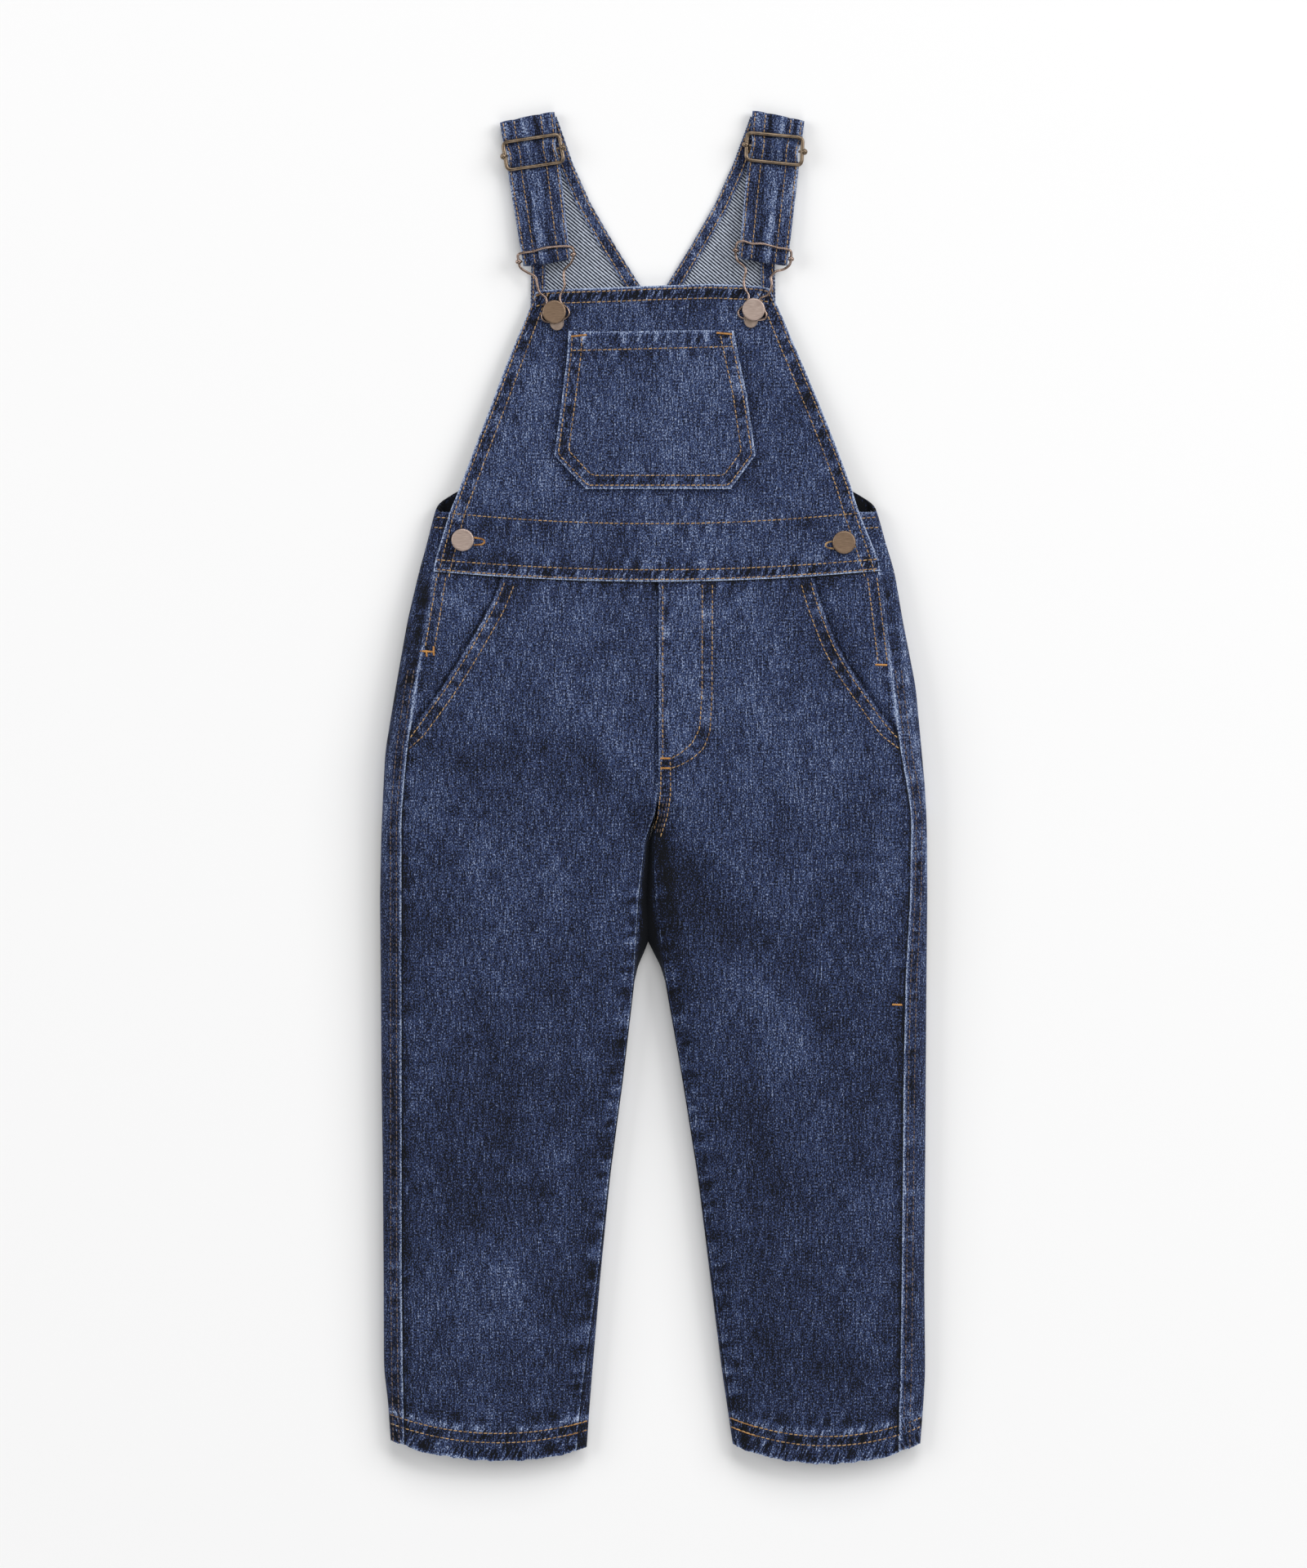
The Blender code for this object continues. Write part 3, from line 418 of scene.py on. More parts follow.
class Lines:
    """Edges and seams of the garment as lines in x and y."""

    @staticmethod
    def outseam(side: Side, inset: float, high: float = 128.0, low: float = -402.0) -> Array:
        """The outseam, or a line `inset` mm outside it."""
        y = np.linspace(high, low, 90)
        out = FORM.half(side, "outseam", y) + inset
        return np.stack([side.value * out, y - FORM.sink(side, out, y)], 1)

    @staticmethod
    def inseam(side: Side, inset: float, high: float = -250.0, low: float = -402.0) -> Array:
        """The inseam on the lower leg, or a line `inset` mm in from it."""
        y = np.linspace(high, low, 50)
        out = FORM.half(side, "inner", y) + FORM.half(side, "inseam_in", y) + inset
        return np.stack([side.value * out, y - FORM.sink(side, out, y)], 1)

    @staticmethod
    def hem(side: Side, above: float) -> Array:
        """A line round the leg, `above` mm over the hem's edge."""
        y = FORM.hem_line + above
        inner, outer = FORM.half(side, "inner", y), FORM.half(side, "outer", y)
        out = np.linspace(inner + 0.6, outer - 0.6, 60)
        return np.stack([side.value * out, y - FORM.sink(side, out, y)], 1)

    @staticmethod
    def slant(side: Side, inset: float, low: float = 31.0) -> Array:
        """The slant pocket's edge, or a line inside the panel."""
        y = np.linspace(126.0, low, 40)
        out = np.minimum(FORM.edge(SLANT, side, y, 3.0), FORM.half(side, "outseam", y))
        line = np.stack([out, y], 1)
        line = offset_line(line, -inset)
        return line * (side.value, 1.0)

    @staticmethod
    def waist(above: float, reach: tuple = (-133.0, 137.0)) -> Array:
        """A line along the waist seam."""
        x = np.linspace(*reach, 80)
        return np.stack([x, FORM.waist_at(x) + above], 1)

    @staticmethod
    def bib_side(side: Side, inset: float, low: float = 128.0, high: float = 303.0) -> Array:
        """The bib's side edge, or a line inside it."""
        y = np.linspace(high, low, 50)
        out = FORM.edge(BIB, side, y, 3.0) - inset * 1.06
        return np.stack([side.value * out, y], 1)

    @staticmethod
    def bib_top(below: float, inset: float = 0.8) -> Array:
        """The bib's top edge, or a line under it."""
        x = np.linspace(-73.0 + inset, 71.2 - inset, 60)
        return np.stack([x, Bib.top_edge(x) - below], 1)

    @staticmethod
    def patch(inset: float) -> Array:
        """The patch pocket's sides and foot, as one line inside its edge."""
        left = [(-row.left, row.y) for row in reversed(PATCH)]
        right = [(row.right, row.y) for row in PATCH]
        return offset_line(np.array(left + right), inset)

    @staticmethod
    def neck(side: Side, inset: float, low: float = 303.0, high: float = 410.8) -> Array:
        """The back's V edge, or a line inside it."""
        y = np.linspace(low, high, 40)
        line = np.stack([FORM.edge(NECK, side, y), y], 1)
        return offset_line(line, -inset) * (side.value, 1.0)

    @staticmethod
    def arm(side: Side, inset: float, low: float = 172.0, high: float = 352.0) -> Array:
        """The back's armhole edge, or a line inside it."""
        y = np.linspace(low, high, 60)
        line = np.stack([FORM.edge(BACK, side, y), y], 1)
        return offset_line(line, inset) * (side.value, 1.0)


def near_line(x: Array, y: Array, points: Array, reach: float) -> tuple:
    """Distance from a line and place along it.

    Args:
        x: where to measure.
        y: where to measure.
        points: the line.
        reach: how far from it matters.

    Returns:
        The distance and the place along the line, and 1e3 where it is out of reach.
    """
    distance, along = np.full(x.shape, 1e3), np.zeros(x.shape)
    low, high = points.min(0) - reach, points.max(0) + reach
    near = (x > low[0]) & (x < high[0]) & (y > low[1]) & (y < high[1])
    px, py = x[near], y[near]
    best, place, run = np.full(px.shape, 1e3), np.zeros(px.shape), 0.0
    for a, b in zip(points[:-1], points[1:]):
        step = b - a
        length = float(np.hypot(*step))
        if length < 1e-6:
            continue
        t = np.clip(((px - a[0]) * step[0] + (py - a[1]) * step[1]) / length ** 2, 0.0, 1.0)
        d = np.hypot(px - a[0] - t * step[0], py - a[1] - t * step[1])
        better = d < best
        best, place = np.where(better, d, best), np.where(better, run + t * length, place)
        run += length
    distance[near], along[near] = best, place
    return distance, along


class Surface:
    """Fine height and wear over the laid form: unevenness, small creases and puckered seams."""

    def __init__(self, seams: Sequence[Seam], seed: int, uneven: float = 0.35) -> None:
        """Keep the seams that cross this piece."""
        self.seams = tuple(seams)
        self.seed = seed
        self.uneven = uneven

    def height(self, x: Array, y: Array) -> Array:
        """Fine height in mm."""
        total = self.uneven * noise(x / 34.0, y / 46.0, self.seed)
        total = total + 0.4 * self.uneven * noise(x / 11.0, y / 15.0, self.seed + 3)
        for k, seam in enumerate(self.seams):
            d, s = near_line(x, y, np.array(seam.points), 3.0 * seam.reach)
            wave = self.wave(seam, k, x, y, s)
            total = total + seam.ripple * wave * np.exp(-(d / seam.reach) ** 2)
            total = total + seam.ridge * np.exp(-(d / 1.3) ** 2)
        return total

    def wave(self, seam: Seam, k: int, x: Array, y: Array, s: Array) -> Array:
        """Slanting puckers along a seam, from -1 to 1."""
        slanted = 1.8 * (s + 0.3 * seam.slant * (x - y)) / seam.pitch
        coarse = noise(slanted, 0.3 * k + (x + y) / 23.0, self.seed + 7 + k)
        return np.clip(1.4 * coarse, -1.0, 1.0)

    def roping(self, x: Array, y: Array) -> Array:
        """How much of the hem's slanting rope marks shows, from 0 to 1."""
        total = np.zeros(np.shape(x))
        for seam in self.seams:
            if seam.rope > 0.0:
                d, _ = near_line(x, y, np.array(seam.points), 3.0 * seam.reach)
                total = total + seam.rope * np.exp(-(d / seam.reach) ** 4)
        return np.clip(total, 0.0, 1.0)

    def wear(self, x: Array, y: Array) -> Array:
        """How worn the cloth is, from -1 in the hollows to 1 on the crests."""
        total = 0.16 * noise(x / 21.0, y / 38.0, self.seed + 5)
        total = total + 0.14 * noise(x / 55.0, y / 80.0, self.seed + 6)
        total = total - 0.25 * smooth((20.0 - y) / 150.0)
        for k, seam in enumerate(self.seams):
            d, s = near_line(x, y, np.array(seam.points), 3.0 * seam.reach)
            wave = self.wave(seam, k, x, y, s)
            fine = noise(s / (0.4 * seam.pitch), d / 2.4, self.seed + 27 + k)
            near = np.exp(-(d / (0.9 * seam.reach)) ** 2)
            total = total + seam.wear * (1.1 * wave + 0.6 * fine) * near - seam.dye * near
            total = total + 0.8 * seam.wear * np.exp(-(d / 1.1) ** 2) * (seam.ridge > 0.0)
        return total


def srgb(value: str) -> tuple:
    """Linear colour from a hex sRGB string.

    Args:
        value: six hex digits, with or without a leading #.

    Returns:
        Red, green, blue and 1.
    """
    digits = value.lstrip("#")
    parts = [int(digits[i:i + 2], 16) / 255.0 for i in (0, 2, 4)]
    linear = [p / 12.92 if p <= 0.04045 else ((p + 0.055) / 1.055) ** 2.4 for p in parts]
    return (*linear, 1.0)


class Shader:
    """A material's node tree."""

    def __init__(self, name: str) -> None:
        """Start a material with only its output."""
        self.material = bpy.data.materials.new(name)
        self.material.use_nodes = True
        self.tree = self.material.node_tree
        self.tree.nodes.clear()

    def add(self, kind: str, inputs: Optional[dict] = None, **settings: object) -> bpy.types.Node:
        """Add a node with its settings and links.

        Args:
            kind: the node's type name, after ShaderNode.
            inputs: socket name or number to a value, an output, or a node for its first output.
            settings: properties of the node.

        Returns:
            The node.
        """
        node = self.tree.nodes.new("ShaderNode" + kind)
        for name, value in settings.items():
            setattr(node, name, value)
        for name, value in (inputs or {}).items():
            value = value.outputs[0] if isinstance(value, bpy.types.Node) else value
            if isinstance(value, bpy.types.NodeSocket):
                self.tree.links.new(value, node.inputs[name])
            else:
                node.inputs[name].default_value = value
        return node

    def weighed(self, total: object, *terms: tuple) -> object:
        """Add marks to a value, each times its weight.

        Args:
            total: the number or output to start from.
            terms: pairs of an output and its weight.

        Returns:
            The node of the sum.
        """
        for mark, weight in terms:
            total = self.add("Math", {0: mark, 1: weight, 2: total}, operation="MULTIPLY_ADD")
        return total

    def coloured(self, value: object, *stops: tuple) -> bpy.types.Node:
        """Colour a value.

        Args:
            value: what to colour, from 0 to 1.
            stops: pairs of a place and a hex colour.

        Returns:
            The node of the colour.
        """
        node = self.add("ValToRGB", {0: value})
        elements = node.color_ramp.elements
        while len(elements) < len(stops):
            elements.new(0.5)
        for element, (place, colour) in zip(elements, stops):
            element.position, element.color = place, srgb(colour)
        return node

    def finish(self, **surface: object) -> bpy.types.Material:
        """Give the material its surface.

        Args:
            surface: socket names, with _ for a blank, to what goes into them.

        Returns:
            The material.
        """
        inputs = {name.replace("_", " "): value for name, value in surface.items()}
        self.add("OutputMaterial", {"Surface": self.add("BsdfPrincipled", inputs)})
        return self.material


@dataclass(frozen=True)
class IndigoTwill:
    """Stone-washed indigo denim, warp face: the eye gets dark blue with pale slubs along the warp."""

    name: str = "stone-washed indigo twill"
    # The near-black stop is reached where painted shade drives the value below the ramp, as in the gap by
    # the crotch, and in the darkest grain.
    hollow: str = "#05070d"
    deep: str = "#10172d"
    dark: str = "#222c4e"
    mid: str = "#3c4e77"
    pale: str = "#a9b8d4"
    slub: float = 0.8
    fine: float = 1.6
    cloud: float = 0.3
    # Real twill lines stand 0.7 mm apart. They are drawn wider, so that they show in the render.
    twill_pitch: float = 1.15
    twill_slope: float = 0.7
    rope_width: float = 1.5
    rope_length: float = 9.0
    rope: float = 1.9
    speck: float = 1.6
    base: float = 0.32

    def material(self) -> bpy.types.Material:
        """Make the material: slubs, fine grain, clouds, twill, wear with painted light and shade, and rope
        marks in one value.
        """
        s = Shader(self.name)
        uv = s.add("TexCoord").outputs["UV"]

        def grain(across: float, along: float, detail: float) -> bpy.types.Node:
            """Noise with a grain in mm across and along the warp."""
            scale = (1.0 / (across * MM), 1.0 / (along * MM), 1.0)
            place = s.add("Mapping", {"Vector": uv, "Scale": scale})
            inputs = {"Vector": place, "Scale": 1.0, "Detail": detail, "Roughness": 0.6}
            return s.add("TexNoise", inputs, noise_dimensions="2D")

        fine = grain(0.75, 1.1, 1.0)
        u, v, _ = s.add("SeparateXYZ", {0: uv}).outputs
        diagonal = s.weighed(u, (v, self.twill_slope))
        turns = s.weighed(0.0, (diagonal, 2.0 * math.pi / (self.twill_pitch * MM)))
        twill = s.add("Math", {0: turns}, operation="SINE")
        middle = self.base - 0.5 * (self.slub + self.fine + self.cloud)
        # The wear mark brings wear together with the painted light and shade that the pieces add to it.
        value = s.weighed(middle, (grain(1.2, 10.0, 2.0), self.slub), (fine, self.fine),
                          (grain(16.0, 34.0, 3.0), self.cloud), (twill, 0.035),
                          (s.add("Attribute", attribute_name="wear").outputs["Fac"], 0.34))
        lean = s.weighed(u, (v, -0.5))
        place = s.add("CombineXYZ", {0: s.weighed(0.0, (lean, 1.0 / (self.rope_width * MM))),
                                     1: s.weighed(0.0, (v, 1.0 / (self.rope_length * MM)))})
        marks = s.add("TexNoise", {"Vector": place, "Scale": 1.0, "Detail": 1.0}, noise_dimensions="2D")
        rope = s.weighed(-0.5 * self.rope, (marks, self.rope))
        value = s.weighed(value, (rope, s.add("Attribute", attribute_name="roping").outputs["Fac"]))
        colour = s.coloured(value, (0.0, self.hollow), (0.12, self.deep), (0.3, self.dark),
                            (0.55, self.mid), (1.0, self.pale))
        greyed = s.add("HueSaturation", {"Color": colour, "Saturation": 0.55, "Value": 1.02})
        speck = s.add("Clamp", {0: s.weighed(-0.5 * self.speck, (grain(0.9, 1.3, 0.0), self.speck))})
        mixed = s.add("Mix", {0: speck, 6: colour, 7: greyed}, data_type="RGBA")
        height = s.weighed(0.0, (twill, 0.25), (fine, 1.6))
        bump = s.add("Bump", {"Height": height, "Distance": 0.18 * MM, "Strength": 0.7})
        return s.finish(Base_Color=mixed.outputs[2], Roughness=0.88, Specular_IOR_Level=0.22,
                        Sheen_Weight=0.08, Sheen_Roughness=0.5, Sheen_Tint=srgb("#9aa6c0"), Normal=bump)


@dataclass(frozen=True)
class ReverseTwill:
    """Back of the denim, weft face: the eye gets pale grey-blue with dark diagonal ribs."""

    name: str = "denim reverse twill"
    dark: str = "#2f3951"
    pale: str = "#ced6e3"
    # The near-black stop, reached in the darkest ribs and where painted shade drives the value down.
    hollow: str = "#10131c"
    # Real ribs stand 0.7 mm apart. They are drawn wider, so that they show in the render.
    pitch: float = 1.7
    slope: float = 0.84
    blots: float = 2.0

    def material(self) -> bpy.types.Material:
        """Make the material: ribs that waver with the blots, darker where the wear mark is below nought,
        in painted shade and in darker blots of wear.
        """
        s = Shader(self.name)
        uv = s.add("TexCoord").outputs["UV"]
        u, v, _ = s.add("SeparateXYZ", {0: uv}).outputs
        scale = 1.0 / (self.blots * MM)
        place = s.add("Mapping", {"Vector": uv, "Scale": (scale, scale, 1.0)})
        blot = s.add("TexNoise", {"Vector": place, "Scale": 1.0, "Detail": 2.0}, noise_dimensions="2D")
        period = self.pitch * MM * math.hypot(1.0, self.slope)
        diagonal = s.weighed(v, (u, self.slope))
        turns = s.weighed(0.0, (diagonal, 2.0 * math.pi / period), (blot, 1.2))
        rib = s.add("Math", {0: turns}, operation="SINE")
        wear = s.add("Attribute", attribute_name="wear").outputs["Fac"]
        # Only the wear mark's negative part darkens the reverse, most of it painted shade.
        deep = s.add("Math", {0: wear, 1: 0.0}, operation="MINIMUM")
        value = s.weighed(0.08, (rib, 0.56), (blot, 0.7), (deep, 0.9))
        colour = s.coloured(value, (0.0, self.hollow), (0.12, self.dark), (1.0, self.pale))
        bump = s.add("Bump", {"Height": rib, "Distance": 0.2 * MM, "Strength": 0.6})
        return s.finish(Base_Color=colour, Roughness=0.92, Specular_IOR_Level=0.2, Sheen_Weight=0.1,
                        Normal=bump)


@dataclass(frozen=True)
class SewingThread:
    """Spun polyester thread: the eye gets small matt glints of colour, lighter on top."""

    name: str
    colour: str
    shade: str
    blots: float = 3.846

    def material(self) -> bpy.types.Material:
        """Make the material."""
        s = Shader(self.name)
        place = s.add("TexCoord").outputs["Object"]
        blot = s.add("TexNoise", {"Vector": place, "Scale": 1.0 / (self.blots * MM), "Detail": 1.0})
        colour = s.coloured(blot, (0.32, self.shade), (0.62, self.colour))
        return s.finish(Base_Color=colour, Roughness=0.6, Specular_IOR_Level=0.35)


@dataclass(frozen=True)
class PlatedMetal:
    """Antique plated wire or cap: the eye gets warm soft highlights with darker tarnish."""

    name: str
    colour: str
    tarnish: str
    roughness: float
    brushed: float = 0.0
    metallic: float = 1.0
    blots: float = 4.1667

    def material(self) -> bpy.types.Material:
        """Make the material: blots of tarnish, drawn out where the metal is brushed."""
        s = Shader(self.name)
        place = s.add("TexCoord").outputs["Object"]
        place = s.add("Mapping", {"Vector": place, "Scale": (1.0, 1.0 + 12.0 * self.brushed, 1.0)})
        blot = s.add("TexNoise", {"Vector": place, "Scale": 1.0 / (self.blots * MM), "Detail": 3.0})
        colour = s.coloured(blot, (0.25, self.tarnish), (0.7, self.colour))
        rough = s.weighed(self.roughness - 0.1, (blot, 0.2))
        bump = s.add("Bump", {"Height": blot, "Distance": 0.03 * MM, "Strength": 0.2})
        return s.finish(Base_Color=colour, Metallic=self.metallic, Roughness=rough, Normal=bump)


@dataclass(frozen=True)
class Paper:
    """Matt white paper under the garment: the eye gets an even white with soft shadows."""

    name: str = "matt white paper"
    colour: str = "#f7f7f7"

    def material(self) -> bpy.types.Material:
        """Make the material."""
        return Shader(self.name).finish(Base_Color=srgb(self.colour), Roughness=0.95,
                                        Specular_IOR_Level=0.1)


class Finishes:
    """Each material, made once."""

    def __init__(self) -> None:
        """Make them all."""
        self.denim = IndigoTwill().material()
        self.strap = IndigoTwill(name="indigo twill, strap", base=0.37).material()
        self.dark_hem = IndigoTwill(name="indigo twill, unfaded hem", base=0.30).material()
        self.reverse = ReverseTwill().material()
        self.threads = {
            Thread.TOPSTITCH: SewingThread("golden brown thread", "#c29e6e", "#72593e").material(),
            Thread.DULL: SewingThread("faded brown thread", "#75645a", "#3f3a42").material(),
            Thread.BAR: SewingThread("orange bar tack thread", "#c6904e", "#8a6032").material(),
        }
        self.slider = PlatedMetal("antique brass wire", "#8e7d6b", "#605243", 0.3).material()
        self.hook = PlatedMetal("antique copper wire", "#a99489", "#7b685d", 0.26).material()
        self.stop = PlatedMetal("antique nickel plate", "#a8968a", "#8a786b", 0.42, 0.0, 0.6).material()
        # One brushed metal in two copies: the paler copy paints the bright reflection of two caps tilted
        # towards the light, the darker the dimmer reflection of the other two.
        self.caps = {
            Side.LEFT: PlatedMetal("brushed antique cap", "#947c66", "#705b49", 0.38, 1.0, 0.6).material(),
            Side.RIGHT: PlatedMetal("brushed copper cap", "#c6b3a8", "#9c877d", 0.4, 1.0, 0.6).material(),
        }
        self.paper = Paper().material()


def make_mesh(name: str, points: Array, faces: Sequence, materials: Sequence,
              uv: Optional[Array] = None, marks: Optional[dict] = None,
              kinds: Optional[Array] = None, sharp: float = 50.0) -> bpy.types.Object:
    """Make one mesh object.

    Args:
        name: the object's name.
        points: vertices in mm.
        faces: vertex numbers of each face.
        materials: its materials.
        uv: place on the cloth in metres, one for each vertex.
        marks: name of a mark on the cloth to its values, one for each vertex.
        kinds: material number of each face.
        sharp: the angle from which an edge stays sharp, in degrees.

    Returns:
        The object, linked to the scene.
    """
    mesh = bpy.data.meshes.new(name)
    mesh.from_pydata((np.asarray(points) * MM).tolist(), [], faces)
    for material in materials:
        mesh.materials.append(material)
    if kinds is not None:
        mesh.polygons.foreach_set("material_index", np.asarray(kinds, np.int32))
    mesh.polygons.foreach_set("use_smooth", np.ones(len(mesh.polygons), bool))
    mesh.set_sharp_from_angle(angle=math.radians(sharp))
    if uv is not None:
        loops = np.empty(len(mesh.loops), np.int32)
        mesh.loops.foreach_get("vertex_index", loops)
        layer = mesh.uv_layers.new(name="cloth")
        layer.data.foreach_set("uv", np.asarray(uv, np.float32)[loops].ravel())
    for mark, values in (marks or {}).items():
        layer = mesh.attributes.new(mark, "FLOAT", "POINT")
        layer.data.foreach_set("value", np.asarray(values, np.float32))
    mesh.update()
    piece = bpy.data.objects.new(name, mesh)
    bpy.context.scene.collection.objects.link(piece)
    LOG.info("%s: %d faces", name, len(mesh.polygons))
    return piece


def stand_in(piece: bpy.types.Object, slot: str, *nodes: str) -> None:
    """Put a piece on the root in place of the part's nodes.

    Args:
        piece: the piece.
        slot: not used.
        nodes: the nodes that it replaces.
    """
    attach(piece, "root")
    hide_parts(*nodes)


def side_by_side(columns: Sequence, rows: Array) -> Array:
    """Join columns into one grid, each as long as the column of rows."""
    return np.concatenate([column + 0.0 * rows for column in columns], axis=1)


def ring_quads(rings: int, sides: int, closed: bool = False) -> Array:
    """Faces between rings of points.

    Args:
        rings: how many rings there are.
        sides: points on each ring.
        closed: whether the last ring joins the first.

    Returns:
        Four vertex numbers for each face.
    """
    i = np.arange(rings if closed else rings - 1)[:, None]
    k = np.arange(sides)[None, :]
    j, n = (i + 1) % rings, (k + 1) % sides
    quads = (i * sides + k, i * sides + n, j * sides + n, j * sides + k)
    return np.stack(quads, 2).reshape(-1, 4)


def ring_ends(rings: int, sides: int) -> list:
    """Faces that close the first and the last ring."""
    return [tuple(reversed(range(sides))), tuple(range((rings - 1) * sides, rings * sides))]


@dataclass
class ClothSheet:
    """One flat-cut piece as a grid of points on its outer face, turned into a thin closed wall."""

    name: str
    nodes: tuple
    slot: str
    thickness: float = 1.2
    worn_edges: tuple = (0.0, 0.0, 0.0, 0.0)
    edge_reach: float = 1.3
    surface: Optional[Surface] = None
    grids: list = field(default_factory=list)

    def add(self, x: Array, y: Array, z: Array, wear: Array, extra: Array = 0.0,
            wrap_from: Optional[int] = None, wear_and_shade: Optional[tuple] = None,
            flip: bool = False) -> None:
        """Add a grid, rows down the garment and columns towards +X on the outer face.

        Args:
            x: x of each point.
            y: y of each point.
            z: height of each point.
            wear: wear of each point, with the painted light and shade that a piece adds.
            extra: more thickness at each point.
            wrap_from: column from which the cloth is measured along itself, where it wraps.
            wear_and_shade: how pale the top, foot, first and last edges are; a negative value paints a
                shade line along that edge.
            flip: whether the columns are given towards -X.
        """
        points = np.stack(np.broadcast_arrays(x, y, z), 2)
        wear = np.array(np.broadcast_to(wear, points.shape[:2]))
        extra = np.broadcast_to(extra, points.shape[:2])
        across = np.linalg.norm(np.diff(points, axis=1), axis=2)
        across = np.concatenate([np.zeros((len(points), 1)), np.cumsum(across, axis=1)], axis=1)
        down = np.linalg.norm(np.diff(points, axis=0), axis=2)
        down = np.concatenate([np.zeros((1, points.shape[1])), np.cumsum(down, axis=0)], axis=0)
        sides = (down, down[-1:] - down, across, across[:, -1:] - across)
        # Pale edges are worn; a dark edge is a painted shade line.
        for amount, distance in zip(wear_and_shade or self.worn_edges, sides):
            wear = wear + amount * np.exp(-(distance / self.edge_reach) ** 2)
        u = points[:, :, 0].copy()
        if wrap_from is not None:
            reference = points[:, wrap_from:wrap_from + 1, 0]
            u = reference + across - across[:, wrap_from:wrap_from + 1]
        uv = np.stack([u, points[:, :, 1]], 2) * MM
        rope = np.zeros(points.shape[:2])
        if self.surface is not None:
            rope = self.surface.roping(points[:, :, 0], points[:, :, 1])
        way = -1 if flip else 1
        self.grids.append(tuple(grid[:, ::way] for grid in (points, uv, wear, rope, extra)))

    def build(self, face: bpy.types.Material, reverse: bpy.types.Material) -> bpy.types.Object:
        """Make the closed wall.

        Args:
            face: material of the outer face.
            reverse: material of the inner face.

        Returns:
            The object.
        """
        points, uvs, wears, ropes, faces, kinds, first = [], [], [], [], [], [], 0
        for grid, uv, wear, rope, extra in self.grids:
            rows, columns = grid.shape[:2]
            normal = np.cross(np.gradient(grid, axis=0), np.gradient(grid, axis=1))
            normal /= np.maximum(np.linalg.norm(normal, axis=2, keepdims=True), 1e-9)
            inner = grid - normal * (self.thickness + extra)[:, :, None]
            count = rows * columns
            index = np.arange(count).reshape(rows, columns) + first
            a, b, c, d = index[:-1, :-1], index[1:, :-1], index[1:, 1:], index[:-1, 1:]
            outer = np.stack([a, b, c, d], 2).reshape(-1, 4)
            ring = np.concatenate([index[:, 0], index[-1, 1:], index[-2::-1, -1], index[0, -2:0:-1]])
            after = np.roll(ring, -1)
            rim = np.stack([after, ring, ring + count, after + count], 1)
            faces += [outer, outer[:, ::-1] + count, rim]
            kinds += [np.zeros(len(outer)), np.ones(len(outer)), np.zeros(len(rim))]
            both = np.concatenate([grid.reshape(-1, 3), inner.reshape(-1, 3)])
            points.append(both)
            uvs += [uv.reshape(-1, 2)] * 2
            wears += [wear.reshape(-1)] * 2
            ropes += [rope.reshape(-1)] * 2
            first += 2 * count
        points = np.concatenate(points)
        points[:, 2] = np.maximum(points[:, 2], 0.0)
        # The wear mark holds each point's wear together with its painted light and shade.
        marks = {"wear": np.concatenate(wears), "roping": np.concatenate(ropes)}
        piece = make_mesh(self.name, points, np.concatenate(faces).tolist(), (face, reverse),
                          np.concatenate(uvs), marks, np.concatenate(kinds))
        stand_in(piece, self.slot, *self.nodes)
        return piece


def spread(marks: Sequence, steps: Sequence) -> Array:
    """Shares from 0 to 1 with a chosen step in each stretch.

    Args:
        marks: distances where the step changes, from first to last.
        steps: the step in each stretch between two marks.

    Returns:
        Shares of the last mark.
    """
    found = [np.array([marks[0]])]
    for a, b, step in zip(marks[:-1], marks[1:], steps):
        found.append(np.linspace(a, b, max(2, int(round((b - a) / step)) + 1))[1:])
    places = np.concatenate(found)
    return (places - marks[0]) / (marks[-1] - marks[0])


@dataclass
class SewnRow:
    """A row of lockstitches along a line on top of the cloth."""

    points: Array
    height: object
    thread: Thread = Thread.TOPSTITCH
    pitch: float = 3.1
    length: float = 2.45
    radius: float = 0.34
    turn: float = 5.0

    def stitches(self) -> tuple:
        """Make every stitch as a small capsule whose ends dive into the cloth.

        Returns:
            Points in mm and faces.
        """
        line = resampled(self.points, self.pitch)
        centre = 0.5 * (line[:-1] + line[1:])
        step = line[1:] - line[:-1]
        angle = np.arctan2(step[:, 1], step[:, 0]) + math.radians(self.turn)
        jitter = lattice(np.arange(len(centre)), np.full(len(centre), 3.0), 11) - 0.5
        half = 0.5 * self.length * (1.0 + 0.16 * jitter)
        along = np.stack([np.cos(angle), np.sin(angle)], 1)
        rings = ((-1.0, 0.35, -0.9), (-0.62, 0.95, 0.0), (0.0, 1.0, 0.35), (0.62, 0.95, 0.0),
                 (1.0, 0.35, -0.9))
        sides, points = 5, []
        for place, share, up in rings:
            at = centre + along * (half * place)[:, None]
            base = self.height(at[:, 0], at[:, 1]) + self.radius * (0.45 + up)
            for k in range(sides):
                turn = 2.0 * math.pi * k / sides
                out = self.radius * share * math.cos(turn)
                points.append(np.stack([at[:, 0] - along[:, 1] * out, at[:, 1] + along[:, 0] * out,
                                        base + self.radius * share * math.sin(turn)], 1))
        points = np.stack(points, 1)
        one = ring_quads(len(rings), sides)[:, [0, 3, 2, 1]]
        faces = one[None] + (np.arange(len(centre)) * points.shape[1])[:, None, None]
        return points.reshape(-1, 3), faces.reshape(-1, 4)


ZIGZAG = 0.42


def bar_tack(start: Sequence, end: Sequence, height: object, width: float = 1.2) -> SewnRow:
    """A bar tack as one dense zigzag.

    Args:
        start: where the bar starts.
        end: where it ends.
        height: height of the cloth at x and y.
        width: how wide the bar is.

    Returns:
        The row that sews it.
    """
    start, end = np.array(start, float), np.array(end, float)
    length = np.linalg.norm(end - start)
    along = (end - start) / length
    side = np.array([-along[1], along[0]])
    count = max(6, int(length / ZIGZAG))
    points = [start + along * length * k / count + side * width * (0.5 if k % 2 else -0.5)
              for k in range(count + 1)]
    return SewnRow(np.array(points), height, Thread.BAR, pitch=width * 1.05, length=width * 1.15,
                   radius=0.3, turn=0.0)


